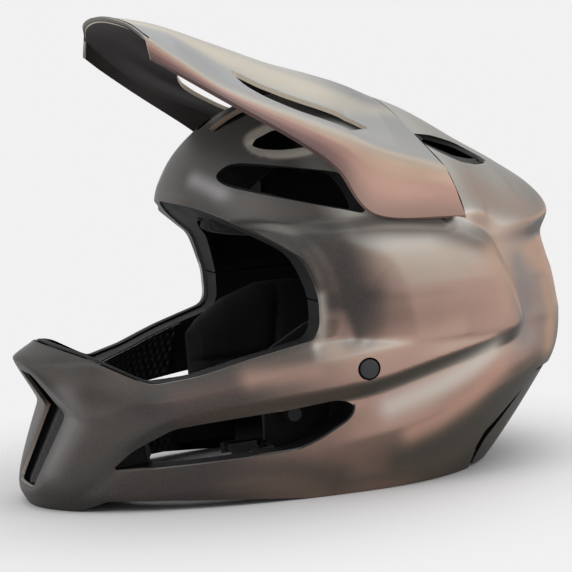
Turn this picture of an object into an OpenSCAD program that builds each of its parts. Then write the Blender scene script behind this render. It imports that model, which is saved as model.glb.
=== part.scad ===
/* [Overall size] */

// Width of the shell form across the temples
shell_w = 246; // [238:1:258]
// Length of the shell from chin to rear
shell_l = 366; // [354:1:378]
// Height of the shell crown above the floor
shell_h = 242; // [234:1:250]
// Thickness of the moulded outer shell
wall = 3.2; // [2.8:0.1:3.8]

/* [Side panels] */

// How far the raised side panel stands proud
pod_rise = 4.6; // [3:0.2:6]
// Radius of the strap anchor cap
cap_r = 5.8; // [5:0.1:6.6]

/* [Visor] */

// Thickness of the visor
visor_t = 2.6; // [2.2:0.1:3]
// Radius of the visor pivot pin
pivot_r = 4; // [3.5:0.1:4.5]
// Running clearance of the pin in its socket
pivot_play = 0.06; // [0.03:0.01:0.1]

/* [Lining] */

// Gap between the shell and the foam liner
liner_gap = 0.3; // [0.2:0.05:0.5]
// Thickness of the dimpled lining in the chin bar
lining_t = 2.4; // [2:0.1:3]
// Thickness of the slip liner
slip_t = 0.9; // [0.7:0.1:1.2]
// Thickness of the crown and brow padding
pad_t = 6.5; // [5:0.5:8]
// Thickness of the cheek pads
cheek_t = 19; // [16:1:22]

/* [Straps] */

// Width of the webbing
strap_w = 20; // [18:1:22]
// Thickness of the webbing
strap_t = 1.8; // [1.5:0.1:2.2]
// Wire radius of the rings
ring_wire = 1.8; // [1.5:0.1:2]

/* [Hidden] */

drawn_w = 246;
drawn_l = 366;
drawn_h = 242;
sx = shell_w/drawn_w;
sy = shell_l/drawn_l;
sz = shell_h/drawn_h;
far = 400;

// Shell lines: height, front y, rear y, half width, y of the widest point, front and rear squareness
SHELL = [
    [0, -177, 127, 103, 20, 2.0, 2.0],
    [12, -183, 138, 106, 20, 2.0, 2.05],
    [40, -185, 161, 112, 20, 1.85, 2.1],
    [66, -185, 178.5, 117, 20, 1.7, 2.15],
    [90, -183, 181.5, 119, 20, 1.6, 2.2],
    [100, -167, 180, 120, 22, 1.62, 2.2],
    [117, -140, 176.5, 122, 24, 1.75, 2.2],
    [128, -124, 172.5, 123, 25, 1.85, 2.2],
    [142, -106, 170, 122, 26, 2.0, 2.2],
    [155, -90, 179, 119, 26, 2.15, 2.1],
    [170, -76, 170, 113, 25, 2.2, 2.0],
    [187, -72, 147, 103, 22, 2.2, 2.0],
    [205, -63, 118, 88, 18, 2.1, 2.0],
    [221, -48, 89, 67, 14, 2.0, 2.0],
    [233, -29, 61, 44, 12, 2.0, 2.0],
    [240, -7, 38, 22, 12, 2.0, 2.0],
    [242, 11, 13, 0.5, 12, 2.0, 2.0]];

// Head cavity lines inside the foam, same columns
CAVITY = [
    [0, -131, 102, 80, 0, 2.5, 2.1],
    [50, -133, 128, 84, 0, 2.5, 2.1],
    [96, -118, 148, 90, 10, 2.2, 2.1],
    [130, -84, 150, 92, 20, 2.1, 2.1],
    [158, -50, 146, 89, 25, 2.1, 2.1],
    [185, -42, 118, 73, 24, 2.1, 2.0],
    [203, -22, 82, 46, 22, 2.0, 2.0],
    [212, 20, 24, 0.5, 22, 2.0, 2.0]];

// Side outlines as y and z
PORT = [[-17, 105], [-17, 122], [-21, 137], [-25, 147], [-39, 158], [-57, 171], [-67, 178],
    [-80, 181], [-260, 192], [-260, 150], [-165, 101], [-147, 94], [-122, 80], [-114, 77],
    [-88, 81], [-60, 89], [-21, 98]];
SLOT = [[-141, 26], [-128, 38], [-105, 50], [-82, 53], [-36, 57], [-11, 60], [-4, 59], [2, 55],
    [-1, 48], [-20, 37], [-33, 32]];
POD = [[-16, 62, 74, 152, 166], [0, 61, 70, 155, 168], [14, 62, 72, 156, 167], [28, 64, 75, 156, 166.5],
    [34, 65, 76, 155.5, 166], [48, 68, 78, 154, 165], [62, 72, 80, 152.5, 163], [78, 75, 82.5, 151.5, 161],
    [88, 77, 84, 149, 158], [98, 79, 86, 138, 152], [106, 80.5, 87.5, 123, 136], [113, 82, 90, 110, 122.5],
    [118, 84, 93, 103, 113.5], [124.5, 92, 95, 97, 101]];
MAIN_VENT = [[-56, 197], [-47, 204], [-31, 202], [8, 195], [14, 188], [18, 171], [8, 174],
    [-39, 187], [-54, 192]];
SMALL_VENT = [[-34, 213], [-30, 218], [-15, 224], [-2, 210], [-17, 209], [-28, 210]];
BLADE = [[64, 213], [82, 210], [103, 203], [126, 190], [112, 190], [96, 194], [82, 201]];
// Front outline of the chin vent as x and z
CHIN_VENT = [[13, 83], [23, 57], [17, 13], [-17, 13], [-23, 57], [-13, 83]];
// Top outlines as x and y
CROWN_VENT = [[8, -46], [20, -44], [27, -30], [28, -8], [14, -8], [9, -22]];
VISOR_VENT = [[34, -56], [50, -54], [60, -12], [63, 24], [57, 38], [46, 26], [36, -10]];

function lat(z, h) = asin(min(1, max(0, z/h)));
function keys_of(T) = [for (r = T) lat(r[0], T[len(T)-1][0])];
SHELL_KEYS = keys_of(SHELL);
CAVITY_KEYS = keys_of(CAVITY);
function hermite(a, b, ma, mb, t) =
    (2*t^3 - 3*t^2 + 1)*a + (t^3 - 2*t^2 + t)*ma + (3*t^2 - 2*t^3)*b + (t^3 - t^2)*mb;
function seat_in(keys, k, i = 0) =
    (i >= len(keys) - 2 || k < keys[i + 1]) ? i : seat_in(keys, k, i + 1);
function slope(rows, keys, i) =
    i == 0 ? (rows[1] - rows[0])/(keys[1] - keys[0]) :
    i == len(rows) - 1 ? (rows[i] - rows[i - 1])/(keys[i] - keys[i - 1]) :
    (rows[i + 1] - rows[i - 1])/(keys[i + 1] - keys[i - 1]);
function row_at(rows, keys, k) =
    let (i = seat_in(keys, k), h = keys[i + 1] - keys[i], t = (k - keys[i])/h)
    hermite(rows[i], rows[i + 1], slope(rows, keys, i)*h, slope(rows, keys, i + 1)*h, t);
// A point of a lines table at latitude k and angle a, where a is 0 at the front and 90 on the left
function form(T, K, k, a) =
    let (r = row_at(T, K, k), s = sin(a), c = cos(a), n = c > 0 ? r[5] : r[6],
         reach = c > 0 ? r[4] - r[1] : r[2] - r[4],
         q = pow(pow(abs(c), n) + pow(abs(s), n), -1/n))
    [sx*r[3]*s*q, sy*(r[4] - reach*c*q), sz*T[len(T)-1][0]*sin(k)];
function unit(v) = v/norm(v);
function form_normal(T, K, k, a) =
    let (m = max(0.2, min(89.4, k)))
    unit(cross(form(T, K, m, a + 0.6) - form(T, K, m, a - 0.6),
               form(T, K, m + 0.4, a) - form(T, K, m - 0.4, a)));
function skin(T, K, k, a, d) =
    k >= 89.8 ? [0, sy*T[len(T)-1][4], sz*T[len(T)-1][0] + d] :
    form(T, K, k, a) + d*form_normal(T, K, k, a);
// Half width of a lines table at a side position y and height z
function side_x(T, K, y, z) =
    let (r = row_at(T, K, lat(z/sz, T[len(T)-1][0])), dy = y/sy - r[4], n = dy < 0 ? r[5] : r[6],
         reach = dy < 0 ? r[4] - r[1] : r[2] - r[4],
         w = max(0, 1 - pow(min(1, abs(dy)/reach), n)))
    sx*r[3]*pow(w, 1/n);
function shell_x(y, z) = side_x(SHELL, SHELL_KEYS, y, z);
function cavity_x(y, z) = side_x(CAVITY, CAVITY_KEYS, y, z);
function scaled_yz(pts) = [for (p = pts) [p[0]*sy, p[1]*sz]];
function scaled_xz(pts) = [for (p = pts) [p[0]*sx, p[1]*sz]];
function scaled_xy(pts) = [for (p = pts) [p[0]*sx, p[1]*sy]];
function ramp(t) = let (u = max(0, min(1, t))) u*u*(3 - 2*u);

// Strap anchor and visor pivot stations
cap_y = 9*sy;
cap_z = 78*sz;
pivot_y = 70*sy;
pivot_z = 171*sz;
pivot_x = shell_x(pivot_y, pivot_z);
socket_r = pivot_r + 3;
cap_x = shell_x(cap_y, cap_z) + 0.3;
rivet_r = 2.9;

// Closed body of a lines table offset by d, with its foot dropped below the floor by drop
module body(T, K, d, na, nk, drop = 0) {
    rings = [for (j = [0:nk - 1]) for (i = [0:na - 1]) skin(T, K, 90*j/nk, 360*i/na, d)];
    foot = [for (i = [0:na - 1]) [rings[i][0], rings[i][1], -drop]];
    low = drop > 0 ? concat(foot, rings) : [for (p = rings) [p[0], p[1], max(0, p[2])]];
    m = drop > 0 ? nk + 1 : nk;
    points = concat(low, [skin(T, K, 90, 0, d), [0, 0, -drop]]);
    faces = concat(
        [for (j = [0:m - 2]) for (i = [0:na - 1]) let (n = (i + 1)%na)
            [j*na + i, (j + 1)*na + i, (j + 1)*na + n]],
        [for (j = [0:m - 2]) for (i = [0:na - 1]) let (n = (i + 1)%na)
            [j*na + i, (j + 1)*na + n, j*na + n]],
        [for (i = [0:na - 1]) [(m - 1)*na + i, m*na, (m - 1)*na + (i + 1)%na]],
        [for (i = [0:na - 1]) [i, (i + 1)%na, m*na + 1]]);
    polyhedron(points, faces);
}

// Prism of a side outline between two x stations, its corners softened and its edge moved out by grow
module side_prism(pts, x0, x1, soft = 0, grow = 0) {
    translate([x0, 0, 0])
        rotate([90, 0, 90])
            linear_extrude(x1 - x0)
                offset(r = soft, $fn = 8)
                    offset(delta = grow - soft)
                        polygon(scaled_yz(pts));
}

module top_prism(pts, z0, z1, soft, grow = 0) {
    translate([0, 0, z0])
        linear_extrude(z1 - z0)
            offset(r = soft, $fn = 8)
                offset(delta = grow - soft)
                    polygon(scaled_xy(pts));
}

module side_hole(x, y, z, r, h, sides = 48) {
    translate([x, y, z])
        rotate([0, 90, 0])
            cylinder(r = r, h = h, $fn = sides);
}

module both_sides() {
    children();
    mirror([1, 0, 0])
        children();
}

// Two-plane wedge that cuts the pointed notch of the chin front, pushed in by d
module chin_notch(d) {
    for (s = [1, -1])
        hull()
            for (x = [-2, 110])
                for (p = [[0, 0], [-39, 60], [-36, -68]])
                    translate([s*x*sx, sy*(-158.3 + 0.234*abs(x) + p[0]) + d, sz*(56.5 + p[1])])
                        cube(0.01, center = true);
}

// Solid between two point grids of m rows by n columns
module slab(top, low, m, n) {
    b = m*n;
    e = n - 1;
    l = (m - 1)*n;
    faces = concat(
        [for (j = [0:m - 2]) for (i = [0:n - 2]) [j*n + i, j*n + i + 1, (j + 1)*n + i + 1]],
        [for (j = [0:m - 2]) for (i = [0:n - 2]) [j*n + i, (j + 1)*n + i + 1, (j + 1)*n + i]],
        [for (j = [0:m - 2]) for (i = [0:n - 2]) [b + j*n + i, b + (j + 1)*n + i + 1, b + j*n + i + 1]],
        [for (j = [0:m - 2]) for (i = [0:n - 2]) [b + j*n + i, b + (j + 1)*n + i, b + (j + 1)*n + i + 1]],
        [for (j = [0:m - 2]) [j*n, (j + 1)*n, (j + 1)*n + b]],
        [for (j = [0:m - 2]) [j*n, (j + 1)*n + b, j*n + b]],
        [for (j = [0:m - 2]) [j*n + e, (j + 1)*n + e + b, (j + 1)*n + e]],
        [for (j = [0:m - 2]) [j*n + e, j*n + e + b, (j + 1)*n + e + b]],
        [for (i = [0:n - 2]) [i, i + b, i + 1 + b]],
        [for (i = [0:n - 2]) [i, i + 1 + b, i + 1]],
        [for (i = [0:n - 2]) [i + l, i + 1 + l + b, i + l + b]],
        [for (i = [0:n - 2]) [i + l, i + 1 + l, i + 1 + l + b]]);
    polyhedron(concat(top, low), faces);
}

// Raised side panel, drawn station by station from its lower rim to its upper rim
module side_panel() {
    top = [for (r = POD)
        let (full = pod_rise*min(1, max(-0.25, (r[0] + 16)/50 - 0.25*(r[0] < -15 ? 1 : 0))),
             rise = r[0] > 120 ? -0.6 : full, rim = min(rise, -0.6))
        for (p = [[r[1], rim], [r[2], rise], [(2*r[2] + r[3])/3, rise*1.1],
                  [(r[2] + 2*r[3])/3, rise*1.1], [r[3], rise], [r[4], rim]])
            [shell_x(r[0]*sy, p[0]*sz) + p[1], r[0]*sy, p[0]*sz]];
    low = [for (p = top) [shell_x(p[1], p[2]) - wall*0.6, p[1], p[2]]];
    slab(top, low, len(POD), 6);
}

// Every opening cut through the shell: edges grow by g, mesh-backed vents by v, corners soft or sharp
module shell_openings(g, v, soft = 1) {
    side_prism(PORT, -far, far, 5*soft, g);
    both_sides() {
        side_prism(SLOT, 52, far, 2*soft, g);
        side_prism(MAIN_VENT, 40, far, 3*soft, g);
        side_prism(SMALL_VENT, 38, far, 2*soft, g);
        side_prism(BLADE, 30, far, 1.5*soft, g);
        top_prism(CROWN_VENT, 150, 350, 3*soft, v);
        rear_port(v);
    }
    chin_vent_prism(v);
}

module chin_vent_prism(v) {
    translate([0, -100*sy, 0])
        rotate([90, 0, 0])
            linear_extrude(200)
                offset(r = 2, $fn = 8)
                    offset(delta = v - 2)
                        polygon(scaled_xz(CHIN_VENT));
}

module rear_port(v) {
    hull()
        for (p = [[18, 136], [18, 142], [44, 138], [40, 144]])
            translate([p[0]*sx, 60, p[1]*sz])
                rotate([-90, 0, 0])
                    cylinder(r = 2 + v, h = 200, $fn = 8);
}

// Space left for the separate rear neck panel
module neck_space() {
    side_prism([[141, 58], [122, 42], [105, 29], [97, 24], [91, 15], [88, 3], [88, -20],
        [far, -20], [far, 58]], -far, far);
}

// Low arch of the side rails above the floor
module rail_arch() {
    side_prism([[-160, -1], [-143, 7], [-108, 6], [-60, 3], [-15, -1], [-15, -9], [-160, -9]], -far, far);
}

module outer_shell() {
    color("#6f6a60")
    difference() {
        union() {
            difference() {
                body(SHELL, SHELL_KEYS, 0, 48, 18);
                chin_notch(0);
            }
            both_sides()
                side_panel();
        }
        difference() {
            body(SHELL, SHELL_KEYS, -wall, 24, 9, 8);
            chin_notch(wall);
        }
        shell_openings(0, 0);
        neck_space();
        rail_arch();
        both_sides() {
            side_hole(cap_x, cap_y, cap_z, cap_r + 0.4, 20);
            side_hole(60, cap_y, cap_z, rivet_r + 0.2, 100);
            side_hole(60, pivot_y, pivot_z, socket_r + 0.2, 100);
        }
    }
}

// Visor net: eight stations from lip to seam, each with five points from spine to lower edge
VISOR = [
    [[0, -106, 291], [24, -105, 289.5], [50, -102.5, 286], [67, -99, 280.5], [75, -99, 271.5]],
    [[0, -108, 298.5], [24, -107, 297.5], [50, -104, 293.5], [69, -99, 285.5], [77, -98.5, 272]],
    [[0, -80, 293], [27, -79, 291], [54, -78, 283], [78, -82, 271], [84, -85, 263]],
    [[0, -43, 279], [30, -43, 275.5], [60, -46, 265.5], [84, -54, 250], [93, -56, 243.5]],
    [[0, -7, 264], [33, -7, 259.5], [66, -9, 247.5], [91, -13, 230.5], [104, -19, 217.5]],
    [[0, 23, 254], [37, 24, 246.5], [71, 22, 234.5], [98, 14, 217.5], [112, 2, 198.5]],
    [[0, 46, 245.5], [39, 47, 236.5], [72, 44, 222.5], [103, 38, 205], [118, 22, 169.5]],
    [[0, 64, 236.5], [34, 64, 231], [66.5, 67, 216.6], [94.8, 79, 191.8], [116.5, 81, 163]]];
VISOR_KEYS = [0, 0.25, 1, 2, 3, 4, 5, 6];
function net_row(v, i) =
    let (w = min(abs(v), 3), j = seat_in([0, 1, 2, 3], w), R = VISOR[i],
         near = hermite(R[j], R[j + 1], j == 0 ? [R[1][0], 0, 0] : (R[j + 1] - R[j - 1])/2,
                        j == 2 ? (R[3] - R[1])/2 : (R[j + 2] - R[j])/2, w - j),
         p = abs(v) <= 3 ? near : R[3] + (R[4] - R[3])*(abs(v) - 3))
    [sx*p[0]*sign(v), sy*p[1], sz*p[2]];
function visor_at(u, v) = row_at([for (i = [0:7]) net_row(v, i)], VISOR_KEYS, u);
function visor_normal(u, v) =
    let (a = max(0.02, min(5.98, u)), b = max(-3.98, min(3.98, v)))
    unit(cross(visor_at(a, b + 0.02) - visor_at(a, b - 0.02),
               visor_at(a + 0.02, b) - visor_at(a - 0.02, b)));

module visor() {
    us = [0, 0.25, 0.5, 1, 1.5, 2, 2.6, 3.2, 3.8, 4.3, 4.8, 5.2, 5.6, 6];
    vs = [4, 3.5, 3, 2.6, 2.1, 1.6, 1, 0.5, 0, -0.5, -1, -1.6, -2.1, -2.6, -3, -3.5, -4];
    top = [for (u = us) for (v = vs) visor_at(u, v)];
    low = [for (u = us) for (v = vs) visor_at(u, v) - visor_t*visor_normal(u, v)];
    hub = [for (u = us) for (v = vs) visor_at(u, v) - 0.8*visor_normal(u, v)];
    color("#a08a7c")
    difference() {
        union() {
            difference() {
                slab(top, low, len(us), len(vs));
                both_sides()
                    for (i = [0:len(VISOR_VENT) - 1])
                        hull()
                            for (p = [VISOR_VENT[i], VISOR_VENT[(i + 1)%len(VISOR_VENT)], [50, -10]])
                                translate([p[0]*sx, p[1]*sy, 150])
                                    cylinder(r = 2, h = 200, $fn = 12);
            }
            both_sides()
                intersection() {
                    side_hole(boss_x, pivot_y, pivot_z, pivot_r + 2.2, 40);
                    slab(hub, [for (p = hub) p - [14*sign(p[0]), 0, 0]], len(us), len(vs));
                }
        }
        both_sides()
            side_hole(boss_x - 5, pivot_y, pivot_z, pivot_r + 0.1, 5 + 2.4);
    }
}
// Inner end of the hub that the visor arm wraps round the pin
boss_x = pivot_x - 4;

// Pivot pins that carry the visor, one each side
module visor_pivot_pins() {
    color("#3a3a3c")
    both_sides()
        side_hole(boss_x - 9, pivot_y, pivot_z, pivot_r, 9 + 2.2);
}

// Bushed sockets set in the shell for the pivot pins
module visor_sockets() {
    color("#222224")
    both_sides()
        difference() {
            side_hole(boss_x - 10, pivot_y, pivot_z, socket_r, 9.2, 12);
            side_hole(boss_x - 9.3, pivot_y, pivot_z, pivot_r + pivot_play, 20);
        }
}

// Foam of the crown, from the brow to the rear
module crown_liner() {
    color("#2a2a2c")
    difference() {
        body(SHELL, SHELL_KEYS, -wall - liner_gap, 24, 9, 8);
        body(CAVITY, CAVITY_KEYS, 0, 24, 8, 12);
        shell_openings(1.5, 3, 0);
        translate([-far, -far, -50])
            cube([2*far, 2*far, 50 + split_z*sz]);
        both_sides()
            side_hole(boss_x - 10.3, pivot_y, pivot_z, socket_r + 0.2, 100);
        anchors(0.2);
    }
}
split_z = 121;

// Foam of the chin bar, cheeks and nape
module chin_liner() {
    color("#303033")
    difference() {
        body(SHELL, SHELL_KEYS, -wall - liner_gap, 24, 9, 8);
        chin_notch(wall + liner_gap);
        body(CAVITY, CAVITY_KEYS, 0, 24, 8, 12);
        shell_openings(1.5, 4, 0);
        translate([-far, -far, split_z*sz - 1])
            cube([2*far, 2*far, far]);
        translate([-far, -far, -50])
            cube([2*far, 2*far, 60]);
        both_sides()
            side_hole(40, cap_y, cap_z, rivet_r + 0.3, 100);
        both_sides() {
            for (p = STUDS)
                side_hole(cavity_x(p[0]*sy, p[1]*sz) - 10, p[0]*sy, p[1]*sz, stud_r + 0.2, 14.6, 12);
            neck_screw_at(1.8);
        }
    }
}

// Dimpled lining inside the chin bar
module chin_lining() {
    color("#151516")
    difference() {
        body(CAVITY, CAVITY_KEYS, -0.4, 24, 8, 12);
        body(CAVITY, CAVITY_KEYS, -0.4 - lining_t, 24, 8, 14);
        shell_openings(2, 2, 0);
        translate([-far, -36*sy, -50])
            cube([2*far, far*2, far]);
        translate([-far, -far, -50])
            cube([2*far, 2*far, 56]);
        translate([-far, -far, split_z*sz - 4])
            cube([2*far, 2*far, far]);
    }
}

// Low friction slip liner inside the crown foam
module slip_liner() {
    color("#c9b458")
    difference() {
        body(CAVITY, CAVITY_KEYS, -0.4, 24, 8, 12);
        body(CAVITY, CAVITY_KEYS, -0.4 - slip_t, 24, 8, 14);
        shell_openings(4, 4, 0);
        translate([-far, -far, -50])
            cube([2*far, 2*far, 50 + (split_z + 6)*sz]);
        anchors(0.2);
    }
}

ANCHORS = [[62, 104], [62, 168], [62, -104], [62, -168]];
module anchors(g) {
    for (a = ANCHORS)
        let (n = form_normal(CAVITY, CAVITY_KEYS, a[0], a[1]))
        translate(skin(CAVITY, CAVITY_KEYS, a[0], a[1], -2))
            rotate([0, acos(n[2]), atan2(n[1], n[0])])
                translate([0, 0, -g])
                    cylinder(r = 3.5 + g, h = 9 + g, $fn = 12);
}

// Rubber anchors that hold the slip liner to the foam
module slip_anchors() {
    color("#1c1c1e")
    anchors(0);
}

// Pad between latitudes k0 and k1 and angles a0 and a1 of the head cavity
module arc_pad(k0, k1, a0, a1, gap, thick, m, n) {
    us = [for (j = [0:m]) j/m];
    vs = [for (i = [0:n]) i/n];
    function crown(t) = pow(1 - pow(abs(2*t - 1), 3.5), 0.6);
    top = [for (u = us) for (v = vs)
        skin(CAVITY, CAVITY_KEYS, k0 + (k1 - k0)*v, a0 + (a1 - a0)*u,
            -gap - thick*0.06*(1 - crown(u)*crown(v)))];
    low = [for (u = us) for (v = vs)
        skin(CAVITY, CAVITY_KEYS, k0 + (k1 - k0)*v, a0 + (a1 - a0)*u,
            -gap - thick*(0.4 + 0.6*crown(u)*crown(v)))];
    slab(top, low, m + 1, n + 1);
}

// Crown padding: a cap and four strips
module crown_pad() {
    color("#18181a")
    union() {
        for (a = [0:1])
            arc_pad(74, 89.5, a*180 - 1, a*180 + 181, pad_gap, pad_t, 10, 4);
        for (a = [25, 155, 205, 335])
            arc_pad(66, 77, a - 12, a + 12, pad_gap, pad_t, 4, 3);
    }
}
pad_gap = 2.8;

module brow_pad() {
    color("#161618")
    arc_pad(49, 55, -58, 58, pad_gap - 0.6, pad_t, 16, 4);
}

module nape_pad() {
    color("#161618")
    arc_pad(21, 32, 136, 224, 3.4, pad_t + 2.6, 12, 5);
}

// Cheek pad stations: y, lower and upper height
CHEEK = [[-44, 34, 84], [-36, 27, 92], [-16, 24, 104], [10, 24, 112], [36, 25, 112], [58, 30, 108],
    [72, 38, 98], [78, 44, 90]];
module cheek_pad() {
    m = len(CHEEK) - 1;
    function crown(t) = pow(1 - pow(abs(2*t - 1), 3), 0.6);
    us = [0, 0.1, 0.25, 0.42, 0.58, 0.75, 0.9, 1];
    top = [for (j = [0:m]) for (t = us)
        let (y = CHEEK[j][0]*sy, z = (CHEEK[j][1] + (CHEEK[j][2] - CHEEK[j][1])*t)*sz)
        [cavity_x(y, z) - cheek_gap - 2*(1 - crown(t)), y, z]];
    low = [for (j = [0:m]) for (t = us)
        let (y = CHEEK[j][0]*sy, z = (CHEEK[j][1] + (CHEEK[j][2] - CHEEK[j][1])*t)*sz,
             f = crown(t)*crown(j/m))
        [cavity_x(y, z) - cheek_gap - 4 - (cheek_t - 4)*f + 2.4*exp(-pow((z/sz - 66)/4, 2))*f, y, z]];
    slab(top, low, m + 1, len(us));
}
// Room behind the cheek pad for the webbing and the rivet head
cheek_gap = 6.4;

module cheek_pad_left() {
    color("#1a1a1c")
    cheek_pad();
}
module cheek_pad_right() {
    color("#1a1a1c")
    mirror([1, 0, 0])
        cheek_pad();
}

// Press studs that hold the cheek pads, three each side
STUDS = [[-28, 50], [44, 50], [26, 100]];
stud_r = 4.5;
module cheek_studs() {
    color("#2c2c30")
    both_sides()
        for (p = STUDS)
            side_hole(cavity_x(p[0]*sy, p[1]*sz) - cheek_gap + 1.1, p[0]*sy, p[1]*sz, stud_r, 8.6, 12);
}

// Bent mesh behind the chin vent
module chin_mesh() {
    color("#0e0e10")
    intersection() {
        difference() {
            chin_notch(wall + liner_gap + 2.4);
            chin_notch(wall + liner_gap + 1);
        }
        chin_vent_prism(1.6);
        body(SHELL, SHELL_KEYS, -wall - 0.6, 24, 9, 8);
    }
}

// Mesh strips behind the crown vents
module crown_mesh() {
    color("#0e0e10")
    both_sides()
        intersection() {
            difference() {
                body(SHELL, SHELL_KEYS, -wall - 0.5, 24, 9, 8);
                body(SHELL, SHELL_KEYS, -wall - 1.7, 24, 9, 9);
            }
            top_prism(CROWN_VENT, 150, 350, 3, 2.4);
        }
}

// Mesh behind the rear ports
module rear_mesh() {
    color("#0e0e10")
    both_sides()
        intersection() {
            difference() {
                body(SHELL, SHELL_KEYS, -wall - 1, 24, 9, 8);
                body(SHELL, SHELL_KEYS, -wall - 2.2, 24, 9, 9);
            }
            rear_port(2.4);
        }
}

// Soft edging of the eye port
module port_trim() {
    color("#121214")
    intersection() {
        difference() {
            body(SHELL, SHELL_KEYS, 0.2, 24, 9, 8);
            body(SHELL, SHELL_KEYS, -7, 24, 9, 9);
            translate([-far, -far, -50])
                cube([2*far, 2*far, 50 + 78*sz]);
        }
        difference() {
            side_prism(PORT, -far, far, 5, -0.2);
            side_prism(PORT, -far, far, 4, -2);
        }
        translate([-far, -200, -10])
            cube([2*far, 400, 400]);
    }
}

// Raised bumper strip at the rear
module rear_bumper() {
    m = 8;
    n = 6;
    ks = [for (i = [0:n]) 17 + 12*i/n];
    as = [for (j = [0:m]) 166 + 28*j/m];
    color("#26241f")
    slab([for (a = as) for (k = ks)
            let (f = ramp(min(k - 17, 29 - k)/2.2)*ramp(min(a - 166, 194 - a)/4))
            skin(SHELL, SHELL_KEYS, k, a, 0.35 + 2.2*f)],
        [for (a = as) for (k = ks) skin(SHELL, SHELL_KEYS, k, a, 0.3 - 0.15)], m + 1, n + 1);
}

// Screw-like caps over the strap anchors
module strap_caps() {
    color("#2b2b2e")
    both_sides()
        difference() {
            side_hole(cap_x + 0.1, cap_y, cap_z, cap_r, 2.3);
            side_hole(cap_x - 1, cap_y, cap_z, rivet_r + 0.2, 2.4);
        }
}

// Rivets that carry the strap webbing through shell and foam
module strap_rivets() {
    tip = cavity_x(cap_y, cap_z);
    color("#9a9a9c")
    both_sides() {
        side_hole(tip - 5.6, cap_y, cap_z, rivet_r, cap_x + 1.2 - tip + 5.6, 12);
        side_hole(tip - 5.6, cap_y, cap_z, 6.5, 1.4, 12);
    }
}

// Webbing drawn through x and z points at one y each, flat side across y
module webbing(path) {
    for (i = [0:len(path) - 2])
        hull()
            for (j = [i, i + 1])
                let (a = path[max(0, j - 1)], b = path[min(len(path) - 1, j + 1)])
                translate(path[j])
                    rotate([0, -atan2(b[2] - a[2], b[0] - a[0]), 0])
                        cube([0.1, strap_w, strap_t], center = true);
}

strap_start = cavity_x(cap_y, cap_z);
STRAP_TOP = [for (p = [[9, 90], [9, 66], [6, 44], [2, 26], [-2, 17]])
    [cavity_x(p[0]*sy, p[1]*sz) - 1.2 - strap_t/2, p[0]*sy, p[1]*sz]];
STRAP_FALL = [[66, -8, 9], [56, -14, 7], [46, -19, 9], [36, -23, 12]];

module strap_left() {
    color("#0c0c0e")
    difference() {
        webbing(concat(STRAP_TOP, STRAP_FALL, [[ring_x + 4.2, -25, ring_z]]));
        side_hole(strap_start - 10, cap_y, cap_z, rivet_r + 0.2, 20);
    }
}

module strap_right() {
    color("#0c0c0e")
    difference() {
        mirror([1, 0, 0])
            webbing(concat(STRAP_TOP, STRAP_FALL,
                [[24, -25, 10], [10, -25, 7], [-2, -25, 6], [-10, -25, 8]]));
        mirror([1, 0, 0])
            side_hole(strap_start - 10, cap_y, cap_z, rivet_r + 0.2, 20);
    }
}

// Ring bars, the loop round them and the two rings
ring_x = 24;
ring_y = -25;
ring_z = 13;
ring_step = 2.8;
ring_r = 12;
module strap_loop() {
    color("#141416")
    difference() {
        union() {
            for (s = [-1, 1])
                translate([ring_x, ring_y - strap_w*0.44, ring_z + s*ring_step])
                    rotate([-90, 0, 0])
                        cylinder(r = ring_wire + 1.6, h = strap_w*0.88, $fn = 48);
            translate([ring_x - ring_wire - 1.6, ring_y - strap_w*0.44, ring_z - ring_step])
                cube([2*ring_wire + 3.2, strap_w*0.88, 2*ring_step]);
        }
        for (s = [-1, 1])
            translate([ring_x, ring_y - 30, ring_z + s*ring_step])
                rotate([-90, 0, 0])
                    cylinder(r = ring_wire + 0.08, h = 60, $fn = 48);
    }
}

// Half circle of wire closed by a straight bar that lies in the webbing loop
module ring(z) {
    m = 18;
    n = 10;
    points = [for (j = [0:m]) for (i = [0:n - 1])
        let (a = 90 + 180*j/m, b = 360*i/n, q = ring_r + ring_wire*cos(b))
        [q*cos(a), q*sin(a), ring_wire*sin(b)]];
    faces = concat(
        [for (j = [0:m - 1]) for (i = [0:n - 1]) let (e = (i + 1)%n)
            [j*n + i, j*n + e, (j + 1)*n + e]],
        [for (j = [0:m - 1]) for (i = [0:n - 1]) let (e = (i + 1)%n)
            [j*n + i, (j + 1)*n + e, (j + 1)*n + i]],
        [[for (i = [n - 1:-1:0]) i], [for (i = [0:n - 1]) m*n + i]]);
    translate([ring_x, ring_y, z]) {
        polyhedron(points, faces);
        translate([0, -ring_r - ring_wire, 0])
            rotate([-90, 0, 0])
                cylinder(r = ring_wire, h = 2*(ring_r + ring_wire), $fn = 48);
    }
}

module upper_ring() {
    color("#b8b8ba")
    ring(ring_z + ring_step);
}

module lower_ring() {
    color("#b8b8ba")
    ring(ring_z - ring_step);
}

// Sewn keeper on the long strap
module strap_keeper() {
    color("#1d1d20")
    translate([-41, -21.2, 10.5])
        rotate([0, -16.7, 0])
            difference() {
                cube([9, strap_w + 7.4, strap_t + 5], center = true);
                cube([12, strap_w + 4.6, strap_t + 2.6], center = true);
            }
}

// Separate lower panel at the nape
module neck_panel() {
    color("#6f6a60")
    intersection() {
        difference() {
            body(SHELL, SHELL_KEYS, -0.4, 24, 9, 8);
            body(SHELL, SHELL_KEYS, -3, 24, 9, 9);
            both_sides()
                neck_screw_at(1.8);
        }
        side_prism([[91, 1], [93, 8], [99, 18], [109, 26], [126, 41], [139, 54], [far, 54], [far, 1]],
            -far, far);
    }
}

module neck_screw_at(r) {
    translate([46*sx, 100*sy, 30*sz])
        rotate([-90, 0, 0])
            cylinder(r = r, h = 100, $fn = 32);
}

module neck_screws() {
    color("#2b2b2e")
    both_sides()
        intersection() {
            body(SHELL, SHELL_KEYS, 0.6, 24, 9, 8);
            neck_screw_at(1.6);
        }
}

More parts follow.
